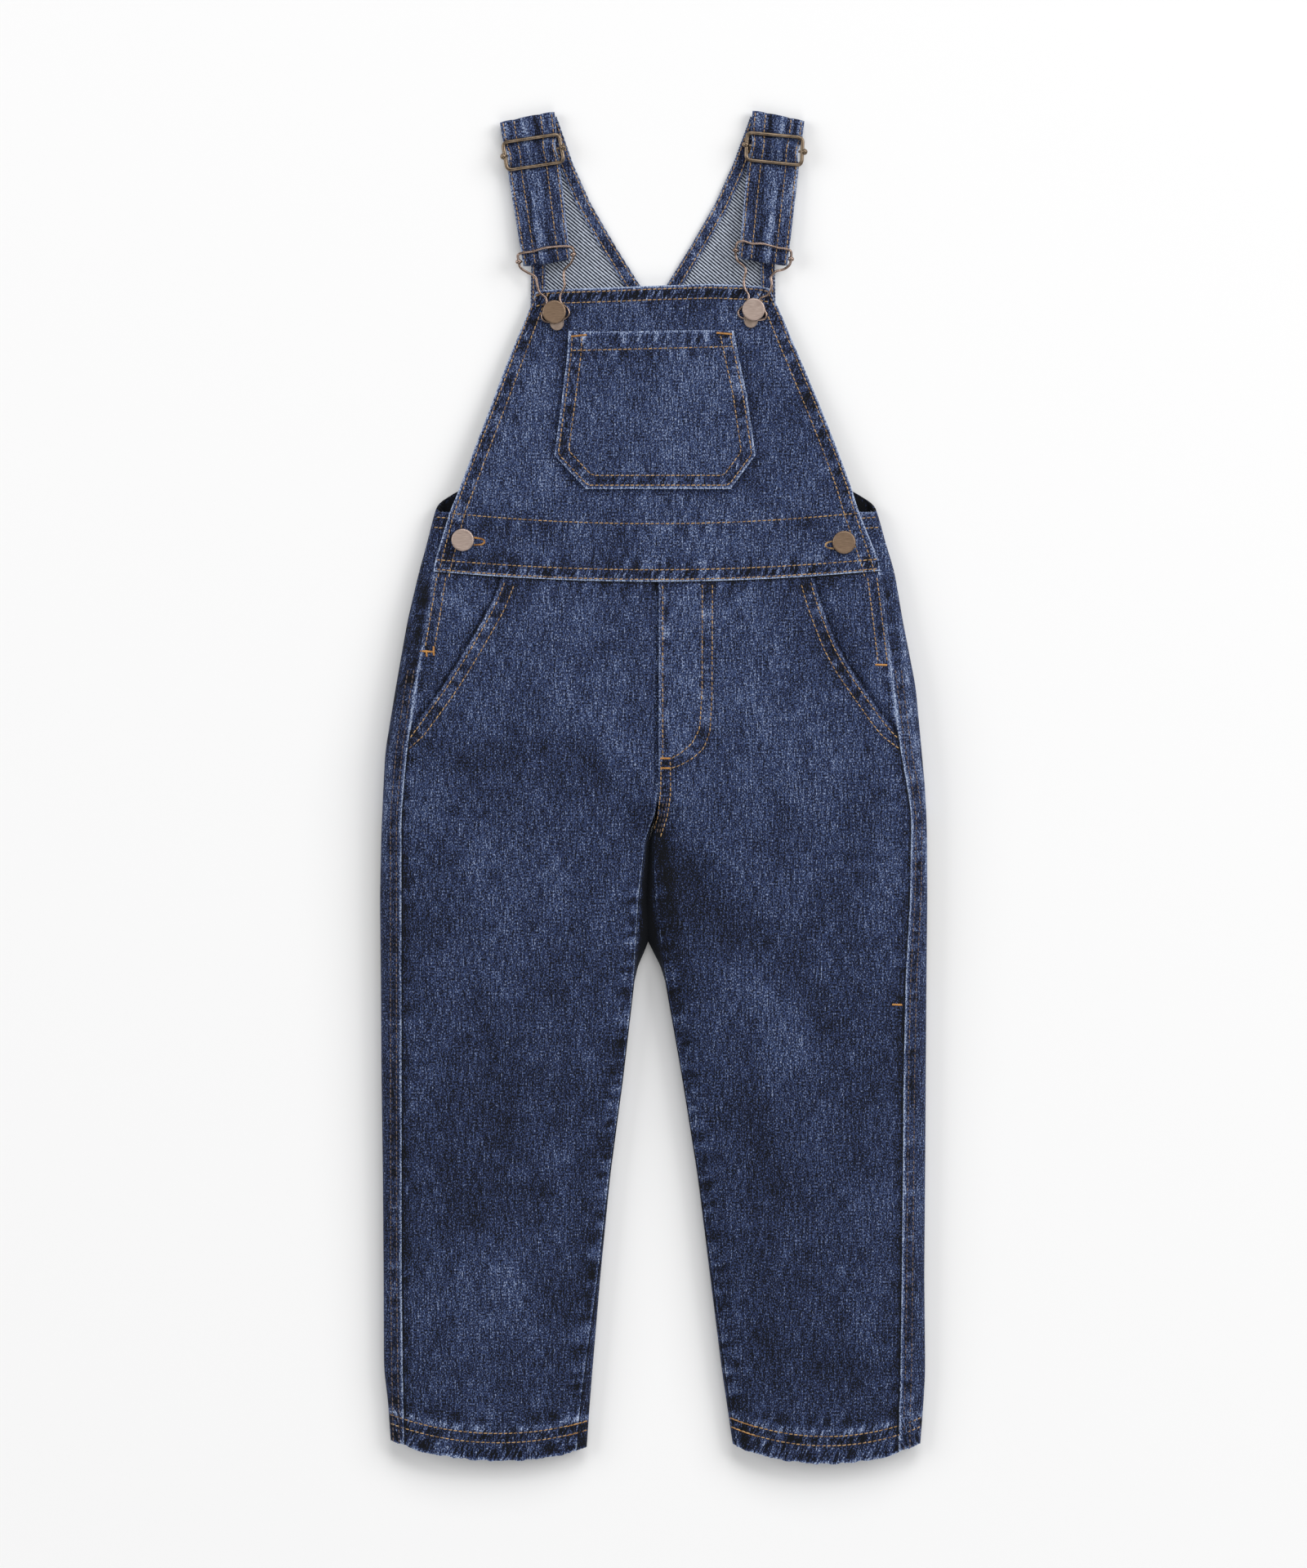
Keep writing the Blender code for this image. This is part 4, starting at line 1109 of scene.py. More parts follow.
def sew(name: str, rows: Sequence[SewnRow], finishes: Finishes) -> list:
    """Join rows of one thread into one piece each.

    Args:
        name: the pieces' first name.
        rows: the rows.
        finishes: the materials.

    Returns:
        The pieces.
    """
    made = []
    for thread in Thread:
        sewn = [row.stitches() for row in rows if row.thread is thread]
        if sewn:
            firsts = np.cumsum([0] + [len(points) for points, _ in sewn])
            faces = np.concatenate([own + first for (_, own), first in zip(sewn, firsts)])
            piece = make_mesh(f"{name}_{thread.value}", np.concatenate([own for own, _ in sewn]),
                              faces.tolist(), (finishes.threads[thread],))
            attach(piece, "root")
            made.append(piece)
    return made


# The fly's edge row, its two curved rows and the two rows that run on to the crotch.
FLY_ROWS = (
    ((5.6, 123.5), (5.6, 17.0)),
    ((29.8, 124.0), (29.6, 60.0), (28.2, 36.0), (23.6, 27.0), (17.7, 21.5), (10.8, 17.6)),
    ((36.0, 124.0), (35.6, 55.0), (34.4, 34.0), (30.5, 23.5), (23.5, 17.4), (15.0, 12.8),
     (10.6, 11.7)),
    ((4.6, 16.0), (4.4, -2.0), (2.8, -17.5), (0.4, -26.0)),
    ((10.2, 16.0), (10.4, -4.0), (8.5, -17.5), (4.2, -30.5)),
)


@dataclass
class LegPair:
    """Front panels, back panels and hip pieces of one half, with their seams."""

    side: Side
    finishes: Finishes
    row_step: float = 1.8
    fly_lap: float = 7.0
    hem_depth: float = 17.0
    top_columns: int = 14

    def __post_init__(self) -> None:
        """Work out the seams that pucker this half."""
        side = self.side
        seams = [
            Seam(Lines.outseam(side, 4.6), 3.4, 0.35, 6.0),
            Seam(Lines.outseam(side, -3.0), 2.6, 0.2, 7.0, wear=0.3, dye=0.35),
            Seam(Lines.hem(side, 19.2), 2.6, 0.4, 4.0, wear=0.4, dye=-0.5, rope=0.5),
            Seam(Lines.hem(side, 13.8), 2.6, 0.3, 3.8, wear=0.7, dye=0.45, slant=0.3, rope=0.6),
            Seam(Lines.hem(side, 4.5), 5.5, 0.55, 6.0, wear=0.45, dye=0.25, rope=0.65),
            Seam(Lines.hem(side, 25.0), 4.0, 0.35, 9.0),
            Seam(Lines.inseam(side, 3.0, -60.0), 6.0, 0.5, 8.0, wear=0.6, dye=0.1),
            Seam(Lines.slant(side, 4.5), 4.6, 0.32, 5.0, wear=0.6),
            Seam(Lines.waist(-3.0), 6.0, 0.45, 8.0, wear=0.38, dye=0.2, slant=2.2),
            Seam(Lines.outseam(side, 9.8, 122.0, -60.0), 1.6, 0.1, 9.0, 0.5, 0.3, dye=-0.1),
            Seam(Lines.outseam(side, 12.6, 112.0, 0.0), 1.6, 0.1, 9.0, -0.5, 0.3),
        ]
        if side is Side.RIGHT:
            fly = ((33.0, 122.0), (32.0, 60.0), (30.0, 32.0), (24.0, 22.0), (12.0, 14.0))
            below_fly = ((7.0, 14.0), (7.0, 0.0), (2.0, -30.0))
            seams += [Seam(fly, 4.6, 0.35, 6.0),
                      Seam(((7.0, 122.0), (7.0, 20.0)), 3.0, 0.3, 6.0, dye=0.2),
                      Seam(below_fly, 3.6, 0.45, 3.2, wear=0.8, dye=0.6)]
        self.surface = Surface(seams, 20 + side.value)

    def wear_and_shade(self, x: Array, y: Array) -> Array:
        """Wear of this half with painted light and shade: paler on the fly, fold ridges painted lighter
        and troughs darker, painted shade on the left flank and by the crotch on the right leg, and a
        painted highlight on the right side.
        """
        # The folds' height is added to the tone, so that their ridges are painted lighter and their
        # troughs darker.
        total = self.surface.wear(x, y) + 0.16 * FORM.folds(x, y)
        slant = FORM.edge(SLANT, self.side, y, 2.0)
        out = self.side.value * x
        total = total + 1.1 * np.exp(-((slant - out) / 1.3) ** 2) * smooth((y - 32.0) / 6.0)
        # Painted shade: the left flank beyond the outseam, which turns away from the light, is darkened.
        if self.side is Side.LEFT:
            flank = smooth((out - FORM.half(self.side, "outseam", y)) / 3.0)
            total = total - 0.55 * flank * smooth((y - 20.0) / 50.0)
        if self.side is Side.RIGHT:
            # Painted shade on the right leg's inner top beside the crotch: a narrow band and a wider one,
            # where the light is blocked.
            crotch_shade = np.exp(-((x - 7.5 + 0.15 * (y + 50.0)) / 4.6) ** 2)
            total = total - 0.8 * crotch_shade * smooth((-y - 20.0) / 12.0) * smooth((y + 122.0) / 60.0)
            inside = np.exp(-((x - FORM.half(self.side, "inner", y)) / 26.0) ** 2)
            total = total - 0.3 * inside * np.exp(-((y + 85.0) / 55.0) ** 2)
            # Paler on the fly; a painted highlight on the right flank beyond the outseam, which faces the
            # light.
            near = smooth((37.0 - x) / 4.0) * smooth((y - 8.0 - 0.02 * x ** 2) / 8.0)
            total = total + 0.34 * near + 0.12 * smooth((x - 151.0) / 4.0)
        return total

    def fine(self, x: Array, y: Array, lift: Array = 1.0) -> Array:
        """Fine height, fading where the cloth turns down the side."""
        return self.surface.height(x, y) * np.clip(lift * 1.6, 0.0, 1.0)

    def height(self, x: Array, y: Array) -> Array:
        """Height of the front's outer face with its fine relief."""
        out = self.side.value * x
        return FORM.top(self.side, out, y) + self.fine(x, y, FORM.lift(self.side, out, y))

    def hip_height(self, x: Array, y: Array) -> Array:
        """Height of the hip piece, which lies below the front panel's edge."""
        out = self.side.value * x
        slant = FORM.edge(SLANT, self.side, y, 3.0)
        seam = FORM.half(self.side, "outseam", y)
        free = smooth((out - slant) / 8.0) * smooth((seam - slant - 2.0) / 6.0)
        lift = FORM.lift(self.side, out, y)
        return FORM.top(self.side, out, y, FORM.lap * (1.0 - free)) + self.fine(x, y, lift)

    def rows(self, upper: float) -> Array:
        """The rows' y from the waist to the hem."""
        low = FORM.hem_line + 40.0
        count = int((upper - low) / self.row_step)
        lower = np.linspace(low, FORM.hem_line, 41)[1:]
        return np.concatenate([np.linspace(upper, low, count), lower])[:, None]

    def ragged(self, out: Array, y: Array) -> Array:
        """How far the hem's edge wanders up and down."""
        wander = 0.7 * noise(out / 5.5, 3.0, 91) + 0.45 * noise(out / 1.7, 5.0, 92)
        return wander * smooth((FORM.hem_line + 6.0 - y) / 6.0)

    def hem_extra(self, y: Array) -> Array:
        """More thickness where the hem is turned up."""
        return 1.0 * smooth((FORM.hem_line + self.hem_depth - y) / 1.5)

    def front(self) -> tuple:
        """Front panel from the waist seam to the hem."""
        side, name = self.side, self.side.name.lower()
        y = self.rows(FORM.waist - 0.2)
        fly_to, fly_step, side_from = (14.0, 1.1, 136.0) if side is Side.LEFT else (36.0, 1.0, 138.0)
        share = spread((0.0, fly_to, side_from, 154.0), (fly_step, 1.6, 1.0))[None, :]
        cut, seam = FORM.edge(SLANT, side, y, 2.0), FORM.half(side, "outseam", y)
        edge = np.where(y > SLANT[-1].y, np.minimum(cut, seam), seam) - 0.1
        lap = self.fly_lap * smooth((y - 2.0) / 10.0) if side is Side.LEFT else 0.0
        start = FORM.half(side, "inner", y) + FORM.half(side, "inseam_in", y) * FORM.closing(y)
        start = start + 0.1 - lap
        bend = np.sqrt(share ** 2 + 0.04 ** 2) - 0.04
        share = share + (bend / bend[0, -1] - share) * FORM.closing(y)
        out = start + (edge - start) * share
        base = y
        rise = (FORM.waist_at(out) - FORM.waist) * smooth((y - 20.0) / (FORM.waist - 20.0))
        y = y + rise - FORM.sink(side, out, y) + self.ragged(out, y)
        drop = 0.0
        if side is Side.LEFT:
            drop = FORM.lap * smooth((4.0 - out) / 6.0) * smooth((y + 8.0) / 12.0)
        x = side.value * out
        z = FORM.top(side, out, y, drop) + self.fine(x, y, FORM.lift(side, out, y))
        cloth = ClothSheet(f"cloth_front_leg_{name}", (f"front_leg_{name}",), "denim_front",
                           surface=self.surface)
        # Painted shade lines along the top edge under the waistband and along the outer edge beside the
        # outseam and slant; the hem and inner edges are paler with wear.
        wear_and_shade = (-0.9, 1.3, 1.1 if side is Side.LEFT else 0.6, -1.3)
        cloth.add(x, y, z, self.wear_and_shade(x, y), self.hem_extra(base), wear_and_shade=wear_and_shade, flip=side is Side.LEFT)
        return cloth, cloth.build(self.finishes.denim, self.finishes.reverse)

    def back(self) -> tuple:
        """Back panel, from the outseam round the side and under the leg to the inseam, with its inner edge
        hung into the gap by the crotch as a dark sheet of painted shade.
        """
        side, name = self.side, self.side.name.lower()
        y = self.rows(FORM.waist + FORM.waist_drop - 0.2)
        edge, low = FORM.half(side, "outer", y), FORM.low(side, y)
        close = FORM.closing(y)
        inner = close * FORM.half(side, "inner", y) + (1.0 - close) * 0.15
        # The inner edge hangs inward as a dark sheet that fills the gap between the legs by the crotch,
        # standing in for the deep shade there.
        gap = FORM.half(Side.LEFT, "inner", y) + FORM.half(Side.RIGHT, "inner", y)
        shade_fill = np.clip(0.5 * gap - 0.3, 0.0, 6.0) + 0.4 * np.exp(-((y + 35.0) / 11.0) ** 2)
        shade_fill = shade_fill * close * smooth((y + 128.0) / 50.0)
        inset = edge - FORM.half(side, "outseam", y) - 0.1
        outs, heights = [], []
        first = np.arccos(np.clip(1.0 - inset / FORM.top_round, 0.0, 1.0))
        for share in np.linspace(1.0, 0.06, self.top_columns):
            out = edge - FORM.top_round * (1.0 - np.cos(first * share))
            outs.append(out)
            fold = 0.55 * np.exp(-((inset - edge + out) / 1.6) ** 2)
            heights.append(self.height(side.value * out, y) + fold)
        for share in np.linspace(1.0, 0.0, 7):
            turn = share * math.pi / 2
            outs.append(edge - low * (1.0 - np.sin(turn)))
            heights.append(low * (1.0 - np.cos(turn)))
        last = close * math.pi / 2
        foot = inner + low * np.sin(last) - shade_fill
        for share in np.linspace(1.0, 0.0, 9)[1:]:
            outs.append(foot + (edge - low - foot) * share)
            heights.append(0.0 * y)
        for share in np.linspace(0.0, 1.0, 6)[1:]:
            turn = share * last
            hang = shade_fill * (1.8 * np.sin(2.0 * turn) + np.cos(turn) ** 2)
            outs.append(inner + low * (np.sin(last) - np.sin(turn)) - hang)
            heights.append(low * (1.0 - np.cos(turn)))
        end_in = np.maximum(FORM.half(side, "inseam_in", y) - 0.2, 0.05) * close
        below, turned = heights[-2:]
        for share in (0.12, 0.4, 0.7, 1.0):
            out = inner + end_in * share
            rise = np.maximum(FORM.top(side, out, y), below)
            outs.append(out)
            heights.append(np.where(close > 0.999, rise, turned + 0.1 * close * share))
        out, z = side_by_side(outs, y), side_by_side(heights, y)
        base, on_top = y, np.arange(out.shape[1]) < self.top_columns
        y = y - FORM.sink(side, out, y) + self.ragged(out, y) * on_top
        x = side.value * out
        cloth = ClothSheet(f"cloth_back_leg_{name}", (f"back_leg_{name}",), "denim_back",
                           edge_reach=0.95, surface=self.surface)
        # Painted shade: the sheet in the gap is darkened to near black.
        wear = self.wear_and_shade(x, y) - 3.0 * np.clip(shade_fill / 2.0, 0.0, 1.0) * (z < 0.97 * low)
        # The hem and the outseam's ridge are paler with wear; the inner edge by the inseam has a painted
        # shade line.
        ridge = 1.7 - 1.0 * smooth((y[:, :1] - 76.0) / 12.0)
        cloth.add(x, y, z, wear, self.hem_extra(base), self.top_columns, (0.2, 1.2, ridge, -0.9),
                  flip=side is Side.LEFT)
        if side is Side.RIGHT:
            points, uv, *marks = cloth.grids[0]
            cloth.grids[0] = (points, uv * (-1.0, 1.0), *marks)
        return cloth, cloth.build(self.finishes.denim, self.finishes.reverse)

    def hip(self) -> tuple:
        """Hip piece in the slant pocket's opening."""
        side, name = self.side, self.side.name.lower()
        y = np.linspace(FORM.waist - 0.2, SLANT[-1].y + 2.0, 62)[:, None]
        slant = FORM.edge(SLANT, side, y, 2.0)
        seam = FORM.half(side, "outseam", y) - 0.15
        share = np.linspace(0.0, 1.0, 34)[None, :]
        start = np.minimum(slant, seam - 1.0) - 8.0
        out = start + (seam - start) * share
        y = y + (FORM.waist_at(out) - FORM.waist) * smooth((y - 20.0) / (FORM.waist - 20.0))
        x = side.value * out
        z = self.hip_height(x, y)
        # Painted shade under the front panel's slant edge, and a painted shade line along the top edge
        # under the waistband; the outer edge is paler with wear.
        wear = self.surface.wear(x, y) - 0.3 * (1.0 - smooth((out - slant) / 6.0))
        cloth = ClothSheet(f"cloth_hip_side_{name}", (f"hip_side_{name}",), "denim_hip")
        cloth.add(x, y, z, wear, wear_and_shade=(-0.9, 0.0, 0.0, 1.4), flip=side is Side.LEFT)
        return cloth, cloth.build(self.finishes.denim, self.finishes.reverse)

    def rows_on_front(self) -> list:
        """Topstitching of the front panel."""
        side, height = self.side, self.height
        rows = []
        for inset, low, foot in ((1.9, 34.0, 30.0), (7.8, 36.0, 23.5)):
            end = (side.value * (float(FORM.half(side, "outseam", foot)) - 0.9), foot)
            rows.append(SewnRow(np.vstack([Lines.slant(side, inset, low), end]), height))
        rows += [SewnRow(Lines.hem(side, 16.6), height), SewnRow(Lines.hem(side, 11.0), height)]
        if side is Side.RIGHT:
            rows += [SewnRow(np.array(line), height) for line in FLY_ROWS]
            for shift in (2.0, 4.1):
                low = [(4.4 + shift, -6.0), (2.8 + 0.95 * shift, -17.5), (0.6 + 0.75 * shift, -28.0)]
                rows.append(SewnRow(np.array(low), height, Thread.DULL))
            rows.append(bar_tack((4.2, 17.6), (10.4, 17.6), height))
            rows.append(bar_tack((4.2, 11.6), (10.4, 11.6), height))
            rows.append(bar_tack((145.6, -132.6), (151.6, -132.8), height))
        for above in (16.3, 10.7):
            sewn_twice = Lines.hem(side, above)[:7 if side is Side.LEFT else 9]
            rows.append(SewnRow(sewn_twice, height, Thread.BAR, 1.7, 2.2, 0.3))
        return rows

    def rows_on_hip(self) -> list:
        """Topstitching of the hip piece along the side vent."""
        side, height = self.side, self.hip_height
        low = 86.0 if side is Side.LEFT else 77.0
        rows = []
        for inset in (1.5, 7.2):
            y = np.linspace(128.5, low, 20)
            slant = FORM.edge(SLANT, side, y, 2.0) + 1.2
            out = np.maximum(FORM.half(side, "outseam", y) - inset, slant)
            rows.append(SewnRow(np.stack([side.value * out, y], 1), height))
        if side is Side.LEFT:
            rows.append(bar_tack((-142.4, 83.2), (-134.4, 82.6), self.height))
            rows.append(bar_tack((-134.2, 86.0), (-134.0, 80.4), self.height))
            rows.append(bar_tack((-138.6, 83.6), (-138.4, 79.8), self.height))
        else:
            rows.append(bar_tack((135.2, 74.8), (142.6, 74.6), self.height))
        return rows

    def rows_on_back(self) -> list:
        """Topstitching of the back panel beside the outseam."""
        side = self.side
        return [SewnRow(Lines.outseam(side, inset, 72.0), self.height, Thread.DULL)
                for inset in (2.9, 6.6)]

    def build(self) -> None:
        """Build every piece of this half."""
        name = self.side.name.lower()
        jobs = (("front_leg", self.front, self.rows_on_front, 0.17, 0.545),
                ("back_leg", self.back, self.rows_on_back, 0.21, 0.545),
                ("hip_side", self.hip, self.rows_on_hip, 0.066, 0.1))
        for kind, make, rows, width, length in jobs:
            cloth, piece = make()
            sewn = sew(f"stitches_{kind}_{name}", rows(), self.finishes)


@dataclass
class Bib:
    """Bib with its waistband, and the patch pocket on it."""

    finishes: Finishes
    top: float = 306.6
    patch_rise: float = 2.1

    def __post_init__(self) -> None:
        """Work out the seams that pucker the bib."""
        seams = [
            Seam(Lines.bib_top(5.2), 3.6, 0.4, 4.0, wear=0.35, dye=0.55, rope=1.0),
            Seam(Lines.bib_top(13.0), 4.4, 0.3, 6.0, wear=0.4, dye=0.0),
            Seam(Lines.bib_side(Side.LEFT, 5.4), 4.0, 0.36, 5.5, wear=0.6, rope=0.35),
            Seam(Lines.bib_side(Side.RIGHT, 5.4), 4.0, 0.36, 5.5, wear=0.6, rope=0.35),
            Seam(Lines.waist(4.4), 3.4, 0.35, 4.0, wear=0.45, dye=0.4, rope=0.6),
            Seam(Lines.waist(11.0), 4.5, 0.4, 7.0, wear=0.5, dye=0.1),
            Seam(self.band_line() - (0.0, 3.0), 4.0, 0.35, 8.0, wear=0.45, dye=0.1),
            Seam(Lines.patch(-1.8), 2.6, 0.2, 6.0, wear=0.2, dye=0.35),
        ]
        self.surface = Surface(seams, 40)
        patch = [
            Seam(Lines.patch(5.0), 3.8, 0.4, 4.0, wear=0.6, slant=0.4, rope=0.4),
            Seam(((-40.0, 274.5), (38.0, 275.5)), 5.0, 0.6, 7.0, wear=0.55, slant=0.6, dye=-0.05,
                 rope=0.35),
            Seam(((-40.0, 264.5), (38.0, 265.5)), 3.4, 0.4, 6.0, wear=0.5, slant=0.6, dye=0.15),
        ]
        self.patch_surface = Surface(patch, 50)

    @staticmethod
    def top_edge(x: Array) -> Array:
        """The bib's top edge."""
        xs = (-73.4, -68.0, -54.0, -23.0, 0.0, 35.0, 58.0, 66.0, 71.6)
        ys = (302.6, 304.2, 305.0, 306.0, 307.0, 308.0, 307.2, 306.6, 305.2)
        return np.interp(x, xs, ys)

    @staticmethod
    def band_line() -> Array:
        """The single row at the top of the waistband."""
        x = np.linspace(-123.5, 125.0, 70)
        return np.stack([x, 161.0 + 6.5 * (x / 124.0) ** 2], 1)

    def height(self, x: Array, y: Array) -> Array:
        """Height of the bib's outer face."""
        return FORM.at(x, y) + self.surface.height(x, y)

    def patch_height(self, x: Array, y: Array) -> Array:
        """Height of the patch pocket's outer face."""
        return FORM.at(x, y) + self.patch_rise + self.patch_surface.height(x, y)

    def bib(self) -> tuple:
        """Bib from the waist seam to its top hem."""
        down = spread((0.0, 20.0, 150.0, 181.0), (1.1, 2.0, 1.2))[:, None]
        across = spread((0.0, 14.0, 123.0, 137.0), (1.1, 2.1, 1.1))
        across = np.concatenate([-across[::-1], across[1:]])[None, :]
        y = FORM.waist + 0.2 + (self.top - FORM.waist) * (1.0 - down)
        left, right = FORM.edge(BIB, Side.LEFT, y, 3.0), FORM.edge(BIB, Side.RIGHT, y, 3.0)
        x = np.where(across < 0.0, across * left, across * right)
        y = y + (FORM.waist_at(x) - FORM.waist) * (1.0 - smooth((y - FORM.waist) / 60.0))
        y = y + (self.top_edge(x) - self.top) * smooth((y - 250.0) / 56.0)
        z = self.height(x, y)
        # The folds' height is added to the tone: ridges painted lighter, troughs darker.
        wear = self.surface.wear(x, y) + 0.12 * FORM.folds(x, y)
        extra = 1.0 * smooth((y - self.top_edge(x) + 10.5) / 1.5)
        cloth = ClothSheet("cloth_bib", ("bib",), "denim_bib", edge_reach=0.95, surface=self.surface)
        cloth.add(x, y, z, wear, extra, wear_and_shade=(2.2, 1.9, 2.0, 2.0))
        return cloth, cloth.build(self.finishes.denim, self.finishes.reverse)

    def patch(self) -> tuple:
        """Patch pocket with cut lower corners."""
        down = spread((0.0, 14.0, 70.0, 97.0), (1.1, 1.8, 1.1))[:, None]
        across = np.linspace(-1.0, 1.0, 73)[None, :]
        y = 279.3 - 97.0 * down
        left, right = FORM.edge(PATCH, Side.LEFT, y), FORM.edge(PATCH, Side.RIGHT, y)
        x = np.where(across < 0.0, across * left, across * right)
        y = y + 1.2 * smooth((y - 260.0) / 19.0) * (1.0 - (x / 52.0) ** 2) * (x / 60.0)
        z = self.patch_height(x, y)
        # The folds' height is added to the tone: ridges painted lighter, troughs darker.
        wear = self.patch_surface.wear(x, y) + 0.12 * FORM.folds(x, y)
        cloth = ClothSheet("cloth_bib_pocket", ("bib_pocket",), "denim_bib",
                           surface=self.patch_surface)
        cloth.add(x, y, z, wear, wear_and_shade=(1.1, 1.3, 1.3, 1.3))
        return cloth, cloth.build(self.finishes.denim, self.finishes.reverse)

    def build(self) -> None:
        cloth, piece = self.bib()
        rows = [SewnRow(Lines.bib_top(below), self.height) for below in (1.9, 8.4)]
        for side in Side:
            rows += [SewnRow(Lines.bib_side(side, inset), self.height) for inset in (2.3, 8.6)]
        rows += [SewnRow(Lines.waist(above), self.height) for above in (7.4, 1.5)]
        rows.append(SewnRow(self.band_line(), self.height))
        sewn = sew("stitches_bib", rows, self.finishes)
        cloth, piece = self.patch()
        height, rows = self.patch_height, []
        for inset in (2.2, 8.2):
            line = Lines.patch(inset)
            line[0, 1], line[-1, 1] = 275.4, 276.6
            rows.append(SewnRow(line, height))
        x = np.linspace(-50.0, 49.0, 30)
        rows.append(SewnRow(np.stack([x, 268.4 + 1.2 * (x / 50.0)], 1), height))
        rows.append(bar_tack((-50.4, 275.8), (-41.0, 276.8), height))
        rows.append(bar_tack((38.6, 278.0), (48.0, 277.2), height))
        sewn = sew("stitches_bib_pocket", rows, self.finishes)


@dataclass
class BackPiece:
    """Back with its side underlaps, armholes, V neck and strap ends, seen from its reverse."""

    finishes: Finishes
    underlap: float = 27.0
    hem_top: float = 2.5

    def __post_init__(self) -> None:
        """Work out the seams that pucker the back."""
        seams = []
        for side in Side:
            seams.append(Seam(Lines.neck(side, 3.9), 4.5, 0.25, 4.5, wear=0.3, dye=0.0))
            seams.append(Seam(Lines.arm(side, 4.0), 4.5, 0.2, 5.0, wear=0.3, dye=0.0))
            band = [(side.value * 143.0, 160.0), (side.value * 120.0, 162.0)]
            seams.append(Seam(band, 6.0, 0.3, 6.0, wear=0.4))
        self.surface = Surface(seams, 60, 0.1)

    def lapped(self, side: Side) -> tuple:
        """Waist part of one half: under the bib, round the side and along the floor."""
        y = np.linspace(FORM.band_top, FORM.waist + FORM.waist_drop + 0.1, 26)[:, None]
        low, edge = FORM.low(side, y), FORM.half(side, "outer", y)
        outs, heights = [], []
        for share in np.linspace(1.0, 0.04, 22):
            out = edge - self.underlap * share
            drop = FORM.lap * smooth((edge - out - 2.0) / 6.0)
            outs.append(out)
            fine = self.surface.height(side.value * out, y) * np.clip(share * 3.0, 0.0, 1.0)
            heights.append(FORM.top(side, out, y, drop) + fine)
        for share in np.linspace(1.0, 0.0, 8):
            turn = share * math.pi / 2
            outs.append(edge - low * (1.0 - np.sin(turn)))
            heights.append(low * (1.0 - np.cos(turn)))
        for share in np.linspace(1.0, 0.0, 8)[1:]:
            outs.append((edge - low) * share)
            heights.append(0.0 * y)
        out = side_by_side(outs, y)
        return side.value * out, y + 0.0 * out, side_by_side(heights, y)

    def flat(self, side: Side) -> tuple:
        """Part of one half above the waist: armhole, V neck and strap end."""
        y = np.concatenate([np.linspace(411.4, 300.0, 74), np.linspace(299.0, FORM.band_top, 70)])
        y = y[:, None]
        neck, arm = FORM.edge(NECK, side, y, 0.0), FORM.edge(BACK, side, y)
        low, edge = FORM.low(side, y), FORM.half(side, "outer", y)
        start = smooth((y - FORM.band_top) / 14.0)
        outs = []
        for share in np.linspace(1.0, 0.0, 9):
            turned = edge - low * (1.0 - math.sin(share * math.pi / 2))
            outs.append(turned * (1.0 - start) + (arm - (1.0 - share) * 9.0) * start)
        inner_from = outs[-1]
        for share in np.linspace(1.0, 0.0, 22)[1:]:
            outs.append(neck + (inner_from - neck) * share)
        out = side_by_side(outs, y)
        rise = np.clip((out - edge + low) / low, 0.0, 1.0)
        z = low * (1.0 - np.sqrt(1.0 - rise ** 2)) * (1.0 - smooth((y - 185.0) / 25.0))
        tilt = 6.3 * smooth((y - 360.0) / 50.0)
        return side.value * out, y - tilt * (out - neck) / 33.0, z

    def hem_height(self, x: Array, y: Array) -> Array:
        """Height of the turned hem on the reverse, for its stitches."""
        return np.full(np.shape(x), self.hem_top)

    def hem_strip(self, side: Side, kind: str) -> tuple:
        """Turned hem along the V neck or the armhole, as a strip on the reverse.

        Args:
            side: which half.
            kind: "neck" or "arm".

        Returns:
            x, y and height of its points.
        """
        width = 8.2 if kind == "neck" else 8.8
        make = Lines.neck if kind == "neck" else Lines.arm
        outer = resampled(make(side, 0.35), 1.6)
        inner = make(side, width)
        share = np.linspace(0.0, 1.0, len(outer))
        lengths = np.linspace(0.0, 1.0, len(inner))
        inner = np.stack([np.interp(share, lengths, inner[:, k]) for k in (0, 1)], 1)
        across = np.linspace(0.0, 1.0, 8)[None, :, None]
        grid = outer[:, None] * (1.0 - across) + inner[:, None] * across
        crown = 2.35 + 0.16 * np.sin(across[:, :, 0] * math.pi)
        z = crown + 0.5 * self.surface.height(grid[:, :, 0], grid[:, :, 1])
        return grid[:, :, 0], grid[:, :, 1], z

    def build(self) -> None:
        cloth = ClothSheet("cloth_back_piece", ("back_piece",), "denim_back")
        for side in Side:
            for x, y, z in (self.lapped(side), self.flat(side)):
                wear = 0.5 * self.surface.wear(x, y) + 0.12
                # Painted shade: darkened in the gaps at the armholes' foot, above the band, where little
                # light reaches.
                deep = smooth((196.0 - y) / 14.0) * smooth((np.abs(x) - 96.0) / 10.0)
                wear = wear - 1.4 * deep * (y > FORM.band_top + 0.5)
                # Painted shade on the left half's waist part, on the side away from the light.
                if side is Side.LEFT:
                    wear = wear - 0.5 * (y < FORM.band_top + 0.6)
                cloth.add(x, y, z, wear, wear_and_shade=(0.7, 0.2, 0.3, 0.3), flip=side is Side.LEFT)
        piece = cloth.build(self.finishes.denim, self.finishes.reverse)
        sewn, rows = [], []
        for side in Side:
            for kind in ("neck", "arm"):
                way = -1 if (side is Side.LEFT) == (kind == "neck") else 1
                x, y, z = (grid[::-1, ::way] for grid in self.hem_strip(side, kind))
                strip = ClothSheet(f"hem_{kind}_{side.name.lower()}", (), "denim_back", 0.9)
